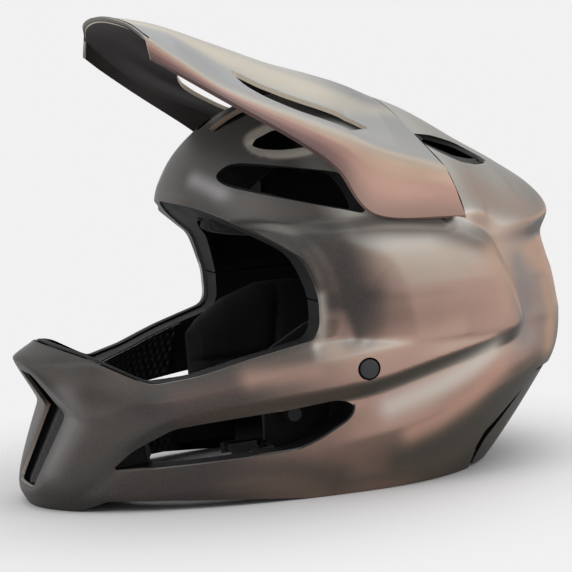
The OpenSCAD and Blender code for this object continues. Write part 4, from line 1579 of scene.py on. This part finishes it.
def primitive_cylinder(name: str, r: float, length: float, centre: Sequence[float], axis: str,
                       sides: int = 48) -> bpy.types.Object:
    """Add a cylinder and keep its place in its mesh.

    Args:
        name: the piece's name.
        r: radius in millimetres.
        length: length in millimetres.
        centre: its middle.
        axis: the axis it runs along, X, Y or Z.
        sides: how many sides it has.

    Returns:
        The cylinder.
    """
    deselect()
    turn = {"X": (0, math.pi / 2, 0), "Y": (math.pi / 2, 0, 0), "Z": (0, 0, 0)}[axis]
    bpy.ops.mesh.primitive_cylinder_add(
        vertices=sides, radius=r * MM, depth=length * MM, location=[c * MM for c in centre], rotation=turn
    )
    obj = bpy.context.object
    obj.name = name
    settle(obj)
    return obj


def round_tool(side: Side, x: float, y: float, z: float, r: float, length: float) -> bpy.types.Object:
    """Round cutting tool across one side, from x outwards."""
    return primitive_cylinder("tool", r, length, (side.value * (x + length / 2), y, z), "X", 64)


def resample(line: Points, step: float) -> Points:
    """Points of a closed line at even spacing.

    Args:
        line: its points.
        step: the spacing.

    Returns:
        The new points.
    """
    p = np.vstack([line, line[:1]])
    s = np.concatenate([[0], np.cumsum(np.linalg.norm(np.diff(p, axis=0), axis=1))])
    t = np.linspace(0, s[-1], max(8, int(s[-1] / step)), endpoint=False)
    return np.column_stack([np.interp(t, s, p[:, i]) for i in range(p.shape[1])])


def outline_way(outline: Points, yz: Points) -> Points:
    """Direction out of a closed outline.

    Args:
        outline: its points.
        yz: points near it, one row each.

    Returns:
        One direction for each point.
    """
    h = 0.4
    gy = inside_distance(outline, yz + [h, 0]) - inside_distance(outline, yz - [h, 0])
    gz = inside_distance(outline, yz + [0, h]) - inside_distance(outline, yz - [0, h])
    g = -np.column_stack([gy, gz])
    return g / np.maximum(1e-6, np.linalg.norm(g, axis=1))[:, None]


def level_way(p: Points) -> Points:
    """Outward direction of the plain shell form, level with the floor.

    Args:
        p: a point of the form.

    Returns:
        The direction, straight ahead near the middle.
    """
    if abs(p[0]) < 6:
        return np.array([0.0, -1.0, 0.0])
    h = 0.5
    narrowing = float(SHELL.side_x(p[1] - h, p[2])) - float(SHELL.side_x(p[1] + h, p[2]))
    n = np.array([2 * h if p[0] >= 0 else -2 * h, narrowing, 0.0])
    return n / np.linalg.norm(n)


def inside_faces(obj: bpy.types.Object) -> None:
    """Give the second finish to the faces of the shell that look inwards or line a vent or the cap's seat.

    Args:
        obj: the shell.
    """
    mesh = obj.data
    n = len(mesh.polygons)
    centre = np.zeros(n * 3)
    normal = np.zeros(n * 3)
    mesh.polygons.foreach_get("center", centre)
    mesh.polygons.foreach_get("normal", normal)
    c, v = centre.reshape(-1, 3) / MM, normal.reshape(-1, 3)
    middle = np.column_stack([np.zeros(n), np.full(n, 15.0), np.clip(c[:, 2], 20, 120)])
    dark = np.sum((c - middle) * v, 1) < -0.35 * np.linalg.norm(c - middle, axis=1)
    yz = c[:, 1:]
    deep = SHELL.side_x(c[:, 1], np.clip(c[:, 2], 0, SHELL.top)) - np.abs(c[:, 0])
    dark |= inside_distance(rounded(MAIN_VENT, 6, 5), yz) > -0.7
    dark |= inside_distance(rounded(BLADE, 4, 5), yz) > -0.5
    dark |= (np.hypot(yz[:, 0] - CAP_Y, yz[:, 1] - CAP_Z) < CAP_R + 1.4) & (deep > -3.2)
    mesh.polygons.foreach_set("material_index", dark.astype(np.int32))
    mesh.update()


def lay_painted_light(obj: bpy.types.Object) -> None:
    """Store on each point the painted highlight or shade laid into the paint there and how strongly.

    Args:
        obj: a painted piece.
    """
    mesh = obj.data
    place = np.zeros(len(mesh.vertices) * 3)
    mesh.vertices.foreach_get("co", place)
    p = place.reshape(-1, 3) / MM
    tone, cover = np.zeros((len(p), 3)), np.zeros(len(p))
    # painted highlight on the bevelled frame round the small vent
    near = np.abs(inside_distance(rounded(SMALL_VENT, 4, 5), p[:, 1:]) + 1.2)
    layers = [(1 - ramp((near - 1.5) / 2.0), (0.40, 0.36, 0.30), 0.7)]
    # then the painted highlights, shade and shadows of the stroke table
    layers += [(np.exp(-((line_distance(line, p[:, 1:]) / wide) ** 2)), t, a) for line, wide, t, a in PAINTED_LIGHT_STROKES]
    for mask, colour, strength in layers:
        w = mask * strength * ramp((np.abs(p[:, 0]) - 20) / 16)
        tone = tone * (1 - w)[:, None] + np.array(colour) * w[:, None]
        cover = 1 - (1 - cover) * (1 - w)
    value = np.column_stack([tone / np.maximum(1e-4, cover)[:, None], cover]).astype(np.float32)
    mesh.attributes.new("painted_light", "FLOAT_COLOR", "POINT").data.foreach_set("color", value.ravel())


# ---------------------------------------------------------------- visor


@dataclass
class Visor:
    """The tilting peak with its rolled lip, two vents, raised spine and arms."""

    finishes: Finishes
    thick: float = 2.6
    # eight stations from lip to seam, each with five points from the spine to the lower edge
    net: ClassVar[Points] = np.array([
        [[0, -107, 295], [24, -106, 293.8], [50, -103.2, 290], [67.5, -99, 283], [75, -99, 271.5]],
        [[0, -108, 298.5], [24, -107, 297.5], [50, -104, 293.5], [69, -99, 285.5], [77, -98.5, 272]],
        [[0, -80, 293], [27, -79, 291], [54, -78, 283], [78, -82, 271], [84, -85, 263]],
        [[0, -43, 279], [30, -43, 275.5], [60, -46, 265.5], [84, -54, 250], [93, -56, 243.5]],
        [[0, -7, 264], [33, -7, 259.5], [66, -9, 247.5], [91, -13, 230.5], [104, -19, 217.5]],
        [[0, 23, 254], [37, 24, 246.5], [71, 22, 234.5], [98, 14, 217.5], [112, 2, 198.5]],
        [[0, 46, 245.5], [39, 47, 236.5], [72, 44, 222.5], [103, 38, 205], [118, 22, 169.5]],
        [[0, 64, 236.5], [34, 64, 231], [66.5, 67, 216.6], [94.8, 79, 191.8], [116.5, 81, 163]],
    ], float)
    keys: ClassVar[Points] = np.array([0, 0.25, 1, 2, 3, 4, 5, 6], float)

    def across(self, v: float) -> Points:
        """Points of all eight stations at one cross position.

        Args:
            v: the cross position, -4 to 4, 0 on the spine.

        Returns:
            One point for each station.
        """
        w = min(abs(v), 3)
        j = int(min(w, 2))
        r = self.net
        flat = np.zeros(len(r))
        ma = np.stack([r[:, 1, 0], flat, flat], 1) if j == 0 else (r[:, j + 1] - r[:, j - 1]) / 2
        mb = (r[:, 3] - r[:, 1]) / 2 if j == 2 else (r[:, j + 2] - r[:, j]) / 2
        p = cubic(w - j, r[:, j], ma, r[:, j + 1], mb)
        if abs(v) > 3:
            p = r[:, 3] + (r[:, 4] - r[:, 3]) * (abs(v) - 3)
        p = p.copy()
        p[:, 0] *= 1 if v >= 0 else -1
        return p

    def soft_across(self, v: float) -> Points:
        """Cross position with the crease rounded."""
        h = 0.07
        return (self.across(max(-4, v - h)) + 2 * self.across(v) + self.across(min(4, v + h))) / 4

    def along(self, rows: Points, u: Points) -> Points:
        """Points at the lengthwise positions u of one cross position's eight stations."""
        return read_rows(rows, slopes_of(rows, self.keys), self.keys, u)

    def surface(self) -> tuple[Points, Points, Points, Points]:
        """Dense outer net.

        Returns:
            Its points, their outward directions, and its lengthwise and cross positions.
        """
        us = np.concatenate([np.linspace(0, 0.5, 15), np.linspace(0.5, 6, 111)[1:]])
        half = np.concatenate([
            np.linspace(0, 2.75, 56), np.linspace(2.8, 3.2, 13), np.linspace(3.25, 4, 16)])
        vs = np.concatenate([-half[:0:-1], half])[::-1]
        p = np.stack([self.along(self.soft_across(v), us) for v in vs], 1)
        du = np.gradient(p, us, axis=0)
        dv = np.gradient(p, vs, axis=1)
        n = np.cross(dv, du)
        n /= np.linalg.norm(n, axis=2)[:, :, None]
        n *= np.sign(n[len(us) // 2, len(vs) // 2, 2])
        return p, n, us, vs

    def body(self) -> None:
        """Build the peak: two nets, the spine and crease relief, and the vents."""
        p, n, us, vs = self.surface()
        u, v = np.meshgrid(us, np.abs(vs), indexing="ij")
        # the bands beside the spine sink towards the vents, deepest at the rear of each vent
        depth = np.interp(u, [1.0, 1.9, 2.6, 4.3, 5.3], [0, 5.0, 6.8, 6.8, 0])
        dip = depth * ramp((v - 1.15) / 0.6) * (1 - ramp((v - 2.3) / 0.6))
        bead = 0.9 * np.exp(-(((v - 3.42) / 0.2) ** 2)) * ramp((u - 2.6) / 1.4)
        outer = p + n * (bead - dip)[:, :, None]
        inner = outer - n * self.thick
        peak = slab("visor_peak", outer, inner)
        peak.data.materials.append(self.finishes.made["visor_paint"][0])
        peak.data.materials.append(self.finishes.made["visor_underside"][0])
        sheet = (len(us) - 1) * (len(vs) - 1)
        index = np.zeros(len(peak.data.polygons), np.int32)
        index[sheet:2 * sheet] = 1
        peak.data.polygons.foreach_set("material_index", index)
        flow = np.tile(np.column_stack([(u / 6).ravel(), (v / 4).ravel()]), (2, 1))
        corners = np.zeros(len(peak.data.loops), np.int32)
        peak.data.loops.foreach_get("vertex_index", corners)
        peak.data.uv_layers.new(name="flow").data.foreach_set("uv", flow[corners].astype(np.float32).ravel())
        for side in Side:
            hole = np.array(VISOR_GAP, float) * [side.value, 1]
            carve(peak, top_tool(rounded(hole, 4, 5), 150, 350))
        shade(peak, 35)
        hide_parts("visor")
        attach(peak, VISOR_ARM)

    def clearance(self, gap: float = 1.0) -> bpy.types.Object:
        """Cutting tool a little larger than the visor, which lets its rear edge into the shell.

        Args:
            gap: how much room it leaves under and behind the visor.

        Returns:
            The closed tool.
        """
        p, n, us, _ = self.surface()
        tail = p[-1] - p[-3]
        tail /= np.linalg.norm(tail, axis=1)[:, None]
        p = np.concatenate([p, (p[-1] + gap * tail)[None]])
        n = np.concatenate([n, n[-1:]])
        keep = len(us) // 3
        return slab("tool", (p + n * 9)[keep:], (p - n * (self.thick + gap))[keep:])

    def build(self) -> None:
        """Build the visor."""
        self.body()
        LOG.info("visor: peak")


# ---------------------------------------------------------------- lining


@dataclass
class Foam:
    """The two foam bodies, the slip liner and the dimpled chin lining."""

    finishes: Finishes
    dimple_pitch: float = 5.4
    dimple_deep: float = 1.1
    lining_low: float = 6.6
    lining_high: float = 92.4
    lining_turn: float = 66.0
    lining_face: float = -2.8

    def half(self, name: str, top: bool) -> bpy.types.Object:
        """Build one foam body, above or below the split.

        Args:
            name: the piece's name.
            top: True for the body above the split.

        Returns:
            The body.
        """
        foam = even_body(SHELL, name, -WALL - LINER_GAP, 120, 44, 8)
        if not top:
            carve(foam, closed_notch(WALL + LINER_GAP))
        carve(foam, even_body(CAVITY, "tool", 0, 96, 32, 12))
        for tool in openings(1.5, 3 if top else 4, False):
            carve(foam, tool)
        low, high = (-50, SPLIT_Z) if top else (SPLIT_Z - 1, FAR)
        carve(foam, box_tool((-FAR, -FAR, low), (FAR, FAR, high)))
        if not top:
            carve(foam, box_tool((-FAR, -FAR, -50), (FAR, FAR, 10)))
            for side in Side:
                carve(foam, round_tool(side, 40, CAP_Y, CAP_Z, 3.3, 110))
                for y, z in STUD_PLACES:
                    x = float(CAVITY.side_x(y, z)) - 10
                    carve(foam, primitive_cylinder("tool", 4.9, 14.6, (side.value * (x + 7.3), y, z), "X"))
                carve(foam, primitive_cylinder("tool", 1.9, 100, (SCREW_X * side.value, SCREW_Y, SCREW_Z), "Y"))
        else:
            for side in Side:
                carve(foam, round_tool(side, 92, PIVOT_Y, PIVOT_Z, 7.4, 100))
        shade(foam, 32)
        return foam

    def slip(self) -> bpy.types.Object:
        """Build the thin slip liner inside the crown.

        Returns:
            The liner.
        """
        liner = even_body(CAVITY, "slip_sheet", -0.4, 96, 32, 12)
        carve(liner, even_body(CAVITY, "tool", -1.3, 96, 32, 14))
        for tool in openings(4, 4, False):
            carve(liner, tool)
        carve(liner, box_tool((-FAR, -FAR, -50), (FAR, FAR, SPLIT_Z + 6)))
        shade(liner, 32)
        return liner

    def lining(self) -> bpy.types.Object:
        """Build the chin bar lining with its field of dimples.

        Returns:
            The lining.
        """
        turn, low, high, face = self.lining_turn, self.lining_low, self.lining_high, self.lining_face
        a = np.linspace(-turn, turn, 331)
        z = np.linspace(low, high, 86)
        k = np.degrees(np.arcsin(z / CAVITY.top))
        kk, aa = np.meshgrid(k, a, indexing="ij")
        base = CAVITY.point(kk.ravel(), aa.ravel())
        middle = np.diff(base.reshape(*kk.shape, 3)[40], axis=0)
        along = np.broadcast_to(np.concatenate([[0], np.cumsum(np.linalg.norm(middle, axis=1))]), kk.shape)
        up = np.broadcast_to(z[:, None], kk.shape)
        p = self.dimple_pitch
        row = np.round(up / (p * 0.866))
        shift = (row % 2) * p / 2
        dx = along - shift - np.round((along - shift) / p) * p
        dz = up - row * p * 0.866
        bowl = np.clip(1 - np.sqrt(dx**2 + dz**2) / (p * 0.46), 0, 1)
        d = face + self.dimple_deep * ramp(bowl * 1.4)
        ends = np.broadcast_to(np.minimum(a + turn, turn - a), kk.shape) * 1.2
        edge = np.minimum.reduce([up - low, high - up, ends])
        d = np.where(edge < 2, face + 0.8 * (1 - edge / 2), d)
        inner = CAVITY.skin(kk.ravel(), aa.ravel(), d.ravel()).reshape(*kk.shape, 3)
        outer = CAVITY.skin(kk.ravel(), aa.ravel(), np.full(kk.size, -0.5)).reshape(*kk.shape, 3)
        keep = slab("dimple_lining", outer, inner)
        carve(keep, box_tool((-FAR, -36, -50), (FAR, FAR, FAR)))
        for tool in openings(2, 2, False):
            carve(keep, tool)
        shade(keep, 40)
        return keep

    def build(self) -> None:
        """Build the foam and its linings."""
        for obj, node, finish in (
            (self.half("crown_foam_body", True), "crown_liner", "crown_foam"),
            (self.half("chin_foam_body", False), "chin_liner", "chin_foam"),
            (self.slip(), "slip_liner", "slip_plastic"),
            (self.lining(), "chin_lining", "lining_rubber"),
        ):
            self.finishes.dress(obj, finish)
            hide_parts(node)
            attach(obj, HELMET)
            LOG.info("foam: %s", obj.name)


def box_tool(lo: Sequence[float], hi: Sequence[float]) -> bpy.types.Object:
    """Cutting block between two corners."""
    rings = [[[lo[0], lo[1], z], [hi[0], lo[1], z], [hi[0], hi[1], z], [lo[0], hi[1], z]] for z in (lo[2], hi[2])]
    return tube_of_rings("tool", rings)


@dataclass
class Pads:
    """Comfort pads: crown, brow, nape and the two cheeks."""

    finishes: Finishes
    thick: float = 6.5
    gap: float = 2.8

    @staticmethod
    def crown(t: Points, power: float = 3.5) -> Points:
        """Cushion section across a pad, full in the middle and drawn in at both edges."""
        return (1 - np.minimum(1, np.abs(2 * t - 1)) ** power) ** 0.6

    def arc(self, name: str, k: tuple[float, float], a: tuple[float, float], gap: float, thick: float,
            m: int, n: int, channels: int) -> bpy.types.Object:
        """Build a pad on the cavity, with sewn channels across it.

        Args:
            name: the piece's name.
            k: latitudes of its two long edges, in degrees.
            a: angles of its two ends, in degrees.
            gap: how far it lies off the cavity.
            thick: its full thickness.
            m: net points along it.
            n: net points across it.
            channels: how many fields the channels part it into.

        Returns:
            The pad.
        """
        u, v = np.meshgrid(np.linspace(0, 1, m), np.linspace(0, 1, n), indexing="ij")
        f = self.crown(u, 8) * self.crown(v)
        sewn = np.zeros_like(u)
        for c in range(1, channels):
            sewn += np.exp(-(((u - c / channels) * m / 2.0) ** 2))
        kk, aa = k[0] + (k[1] - k[0]) * v, a[0] + (a[1] - a[0]) * u
        back = CAVITY.skin(kk.ravel(), aa.ravel(), (-gap - thick * 0.06 * (1 - f)).ravel())
        face = CAVITY.skin(kk.ravel(), aa.ravel(),
                           (-gap - thick * (0.36 + 0.64 * f) + thick * 0.33 * sewn * f).ravel())
        return slab(name, back.reshape(*u.shape, 3), face.reshape(*u.shape, 3))

    def head(self) -> None:
        """Build the crown, brow and nape pads."""
        cap = [self.arc("crown_cushion", (74, 89.5), (a - 1, a + 181), self.gap, self.thick, 60, 14, 1)
               for a in (0, 180)]
        cap += [self.arc("tool", (66, 77), (a - 12, a + 12), self.gap, self.thick, 22, 18, 1)
                for a in (25, 155, 205, 335)]
        for piece in cap[1:]:
            carve(cap[0], piece, "UNION")
        brow = self.arc("brow_cushion", (49, 55), (-58, 58), self.gap - 0.6, self.thick, 120, 16, 8)
        nape = self.arc("nape_cushion", (21, 32), (136, 224), 3.4, self.thick + 2.6, 90, 20, 4)
        for obj, node, finish in ((cap[0], "crown_pad", "crown_knit"), (brow, "brow_pad", "crown_knit"),
                                  (nape, "nape_pad", "crown_knit")):
            self.place(obj, node, finish)

    def place(self, obj: bpy.types.Object, node: str, finish: str) -> None:
        """Finish and mount one pad, and hide the CAD node it stands for.

        Args:
            obj: the pad.
            node: the CAD node that it stands for.
            finish: its cloth.
        """
        shade(obj, 60)
        self.finishes.dress(obj, finish)
        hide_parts(node)
        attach(obj, HELMET)
        LOG.info("pads: %s", obj.name)

    def cheek(self, side: Side) -> bpy.types.Object:
        """Build one cheek pad: crowned, drawn in at its rim, with two sewn channels.

        Args:
            side: the side it lies on.

        Returns:
            The pad.
        """
        st = np.array([[-44, 34, 84], [-36, 27, 92], [-16, 24, 104], [10, 24, 112], [36, 25, 112],
                       [58, 30, 108], [72, 38, 98], [78, 44, 90]], float)
        s = np.linspace(0, 1, 78)
        key = np.linspace(0, 1, len(st))
        row = np.column_stack([np.interp(s, key, st[:, i]) for i in range(3)])
        t = np.linspace(0, 1, 56)
        y = np.broadcast_to(row[:, :1], (78, 56))
        z = row[:, 1:2] + (row[:, 2:3] - row[:, 1:2]) * t
        f = self.crown(t, 3)[None, :] * self.crown(s, 3)[:, None]
        x = CAVITY.side_x(y, z)
        seam = np.exp(-(((z - 66) / 2.2) ** 2)) + np.exp(-(((y - 12 - (z - 66) * 0.25) / 2.2) ** 2)) * (z > 66)
        seam = np.clip(seam, 0, 1)
        back = x - 6.4 - 1.2 * (1 - self.crown(t, 3))[None, :]
        face = x - 6.4 - 4 - 14.6 * f + 3.0 * seam * f
        sign = side.value
        return slab("cheek_cushion_" + side.name.lower(),
                    np.stack([back * sign, y, z], -1), np.stack([face * sign, y, z], -1))

    def build(self) -> None:
        """Build all pads."""
        self.head()
        self.place(self.cheek(Side.LEFT), "cheek_pad_left", "pad_knit")
        self.place(self.cheek(Side.RIGHT), "cheek_pad_right", "pad_knit")


# ---------------------------------------------------------------- straps


@dataclass
class Straps:
    """Webbing of the chin strap, unfastened and resting inside the helmet."""

    finishes: Finishes
    width: float = 20.0
    thick: float = 1.8

    @staticmethod
    def smooth(path: Points, steps: int = 8) -> Points:
        """Round path through the given points.

        Args:
            path: the points.
            steps: new points for each stretch.

        Returns:
            The points of the round path.
        """
        p = np.vstack([2 * path[0] - path[1], path, 2 * path[-1] - path[-2]])
        out = []
        for i in range(1, len(p) - 2):
            for t in np.linspace(0, 1, steps, endpoint=False):
                out.append(0.5 * ((2 * p[i]) + (-p[i - 1] + p[i + 1]) * t
                                  + (2 * p[i - 1] - 5 * p[i] + 4 * p[i + 1] - p[i + 2]) * t**2
                                  + (-p[i - 1] + 3 * p[i] - 3 * p[i + 1] + p[i + 2]) * t**3))
        out.append(path[-1])
        return np.array(out)

    def strip(self, name: str, path: Points) -> bpy.types.Object:
        """Build webbing along a path, flat side across y, with rounded edges and a UV map along it.

        Args:
            name: the piece's name.
            path: points that the middle of the webbing runs through.

        Returns:
            The webbing.
        """
        line = self.smooth(path)
        way = np.gradient(line, axis=0)
        w, h = self.width / 2, self.thick / 2
        section = [(-w, -h * 0.4), (-w + 0.5, -h), (-w / 2, -h), (0, -h), (w / 2, -h), (w - 0.5, -h),
                   (w, -h * 0.4), (w, h * 0.4), (w - 0.5, h), (w / 2, h), (0, h), (-w / 2, h),
                   (-w + 0.5, h), (-w, h * 0.4)]
        rings = []
        for p, d in zip(line, way):
            t = np.array([d[0], 0, d[2]])
            t /= np.linalg.norm(t)
            n = np.array([-t[2], 0, t[0]])
            rings.append([p + np.array([0, a, 0]) + n * b for a, b in section])
        obj = tube_of_rings(name, rings)
        uv = obj.data.uv_layers.new(name="webbing")
        length = np.concatenate([[0], np.cumsum(np.linalg.norm(np.diff(line, axis=0), axis=1))])
        for loop in obj.data.loops:
            across = obj.data.vertices[loop.vertex_index].co.y / MM - line[0][1]
            place = length[loop.vertex_index // len(section)]
            uv.data[loop.index].uv = (across / self.width + 0.5, place * 0.01)
        return obj

    def build(self) -> None:
        """Build the two straps."""
        tops = np.array([[9, 90], [9, 66], [6, 44], [2, 26], [-2, 17]], float)
        x = CAVITY.side_x(tops[:, 0], tops[:, 1]) - 1.2 - self.thick / 2
        start = np.column_stack([x, tops])
        fall = np.array([[66, -8, 9], [56, -14, 7], [46, -19, 9], [36, -23, 12]], float)
        left = np.vstack([start, fall, [[28.2, -25, 13]]])
        right = np.vstack([start, fall, [[24, -25, 10], [10, -25, 7], [-2, -25, 6], [-10, -25, 8]]])
        right[:, 0] *= -1
        for name, node, path in (("strap_short", "strap_left", left), ("strap_long", "strap_right", right)):
            obj = self.strip(name, path)
            shade(obj, 50)
            self.finishes.dress(obj, "webbing")
            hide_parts(node)
            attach(obj, HELMET)
            LOG.info("straps: %s", name)


# ---------------------------------------------------------------- studio


@dataclass
class Studio:
    """Pale floor, soft lights and the camera at the photograph's place."""

    # the camera's place in millimetres and its axes
    camera_at: tuple[float, float, float] = (1501.0086, -530.1864, 314.9098)
    right: tuple[float, float, float] = (0.34202, 0.937048, -0.070457)
    up: tuple[float, float, float] = (-0.091698, 0.107902, 0.989924)
    back: tuple[float, float, float] = (0.935208, -0.332113, 0.12283)
    sensor: float = 36.0
    picture_px: float = 572.0
    focal_px: float = 2490.0
    # each lamp's name, place, target, size and watts, in metres
    lamps: tuple[tuple, ...] = (
        ("side_soft", (1.33, 1.15, 0.6), (0, 0, 0.12), (1.6, 1.0), 9),
        ("top_soft", (-0.3, 0.35, 1.75), (0, 0, 0.1), (2.4, 2.4), 21),
        ("front_soft", (0.35, -1.7, 1.3), (0, 0, 0.12), (0.9, 0.9), 12),
    )

    def camera(self) -> None:
        """Place the camera."""
        data = bpy.data.cameras.new("camera")
        data.sensor_width = self.sensor
        data.lens = self.focal_px / self.picture_px * self.sensor
        data.clip_end = 100
        cam = bpy.data.objects.new("camera", data)
        bpy.context.collection.objects.link(cam)
        m = Matrix.Identity(4)
        for col, axis in enumerate((self.right, self.up, self.back)):
            for r in range(3):
                m[r][col] = axis[r]
        for r in range(3):
            m[r][3] = self.camera_at[r] * MM
        cam.matrix_world = m
        bpy.context.scene.camera = cam

    def lamp(self, name: str, at: Sequence[float], target: Sequence[float], size: tuple[float, float],
             power: float) -> None:
        """Place one soft area light.

        Args:
            name: its name.
            at: its place in metres.
            target: what it looks at.
            size: its width and height.
            power: its strength in watts.
        """
        data = bpy.data.lights.new(name, "AREA")
        data.shape = "RECTANGLE"
        data.size, data.size_y = size
        data.energy = power
        lamp = bpy.data.objects.new(name, data)
        bpy.context.collection.objects.link(lamp)
        lamp.location = at
        lamp.rotation_euler = (Vector(target) - Vector(at)).to_track_quat("-Z", "Y").to_euler()

    def floor(self) -> None:
        """Lay the pale floor, which fades into the backdrop away from the helmet."""
        deselect()
        bpy.ops.mesh.primitive_plane_add(size=4, location=(0, 0, -0.0004))
        floor = bpy.context.object
        floor.name = "studio_floor"
        mat = bpy.data.materials.new("floor")
        mat.use_nodes = True
        mat.node_tree.nodes.clear()
        g = Graph(mat.node_tree)
        shader = g.add("ShaderNodeBsdfDiffuse", Color=(0.88, 0.875, 0.88, 1))
        spread = g.add("ShaderNodeVectorMath", operation="MULTIPLY_ADD")
        spread.inputs[1].default_value = (1.25, 1.3, 1.0)
        spread.inputs[2].default_value = (0, 0.045, 0)
        g.join(g.add("ShaderNodeTexCoord").outputs["Object"], spread.inputs[0])
        length = g.add("ShaderNodeVectorMath", operation="LENGTH")
        g.join(spread.outputs[0], length.inputs[0])
        fade = g.add("ShaderNodeMixShader")
        faded = g.scale(length.outputs["Value"], 0.17, 0.42, 0, 1)
        g.join(g.math("MULTIPLY", faded, g.add("ShaderNodeLightPath").outputs["Is Camera Ray"]), fade.inputs[0])
        g.join(shader.outputs[0], fade.inputs[1])
        g.join(g.add("ShaderNodeBsdfTransparent").outputs[0], fade.inputs[2])
        g.join(fade.outputs[0], g.add("ShaderNodeOutputMaterial").inputs[0])
        floor.data.materials.append(mat)

    def backdrop(self) -> None:
        """Light the scene from all round, and show a pale backdrop to the camera and in reflections."""
        world = bpy.data.worlds.new("studio")
        bpy.context.scene.world = world
        world.use_nodes = True
        world.node_tree.nodes.clear()
        g = Graph(world.node_tree)
        rays = g.add("ShaderNodeLightPath")
        seen = g.math("MAXIMUM", rays.outputs["Is Camera Ray"], rays.outputs["Is Transmission Ray"])
        seen = g.math("MAXIMUM", seen, rays.outputs["Is Glossy Ray"])
        plain = g.add("ShaderNodeBackground", Strength=0.32)
        plain.inputs["Color"].default_value = (0.93, 0.94, 0.96, 1)
        white = g.add("ShaderNodeBackground", Strength=1.0)
        white.inputs["Color"].default_value = (0.885, 0.88, 0.885, 1)
        both = g.add("ShaderNodeMixShader")
        g.join(seen, both.inputs[0])
        g.join(plain.outputs[0], both.inputs[1])
        g.join(white.outputs[0], both.inputs[2])
        g.join(both.outputs[0], g.add("ShaderNodeOutputWorld").inputs[0])

    def build(self) -> None:
        """Build the studio."""
        self.camera()
        self.floor()
        self.backdrop()
        for lamp in self.lamps:
            self.lamp(*lamp)
        bpy.context.scene.view_settings.view_transform = "Standard"


def dress_nodes(finishes: Finishes) -> None:
    """Finish the CAD nodes whose own shape is shown.

    Args:
        finishes: the helmet's finishes.
    """
    for node, finish in {
        "visor_pivot_pins": "pin_plastic", "visor_sockets": "socket_plastic", "slip_anchors": "anchor_rubber",
        "cheek_studs": "stud_plastic", "chin_mesh": "guard_mesh", "crown_mesh": "guard_mesh",
        "rear_mesh": "guard_mesh", "strap_rivets": "rivet_steel", "strap_loop": "webbing",
        "upper_ring": "ring_steel", "lower_ring": "ring_steel", "strap_keeper": "keeper_rubber",
        "neck_screws": "screw_steel",
    }.items():
        finishes.dress_node(node, finish)


def main() -> None:
    """Build and dress the helmet, then its studio."""
    logging.basicConfig(level=logging.INFO, format="%(message)s")
    finishes = Finishes()
    OuterShell(finishes).build()
    Visor(finishes).build()
    Foam(finishes).build()
    Pads(finishes).build()
    Straps(finishes).build()
    dress_nodes(finishes)
    Studio().build()


if __name__ == "__main__":
    main()
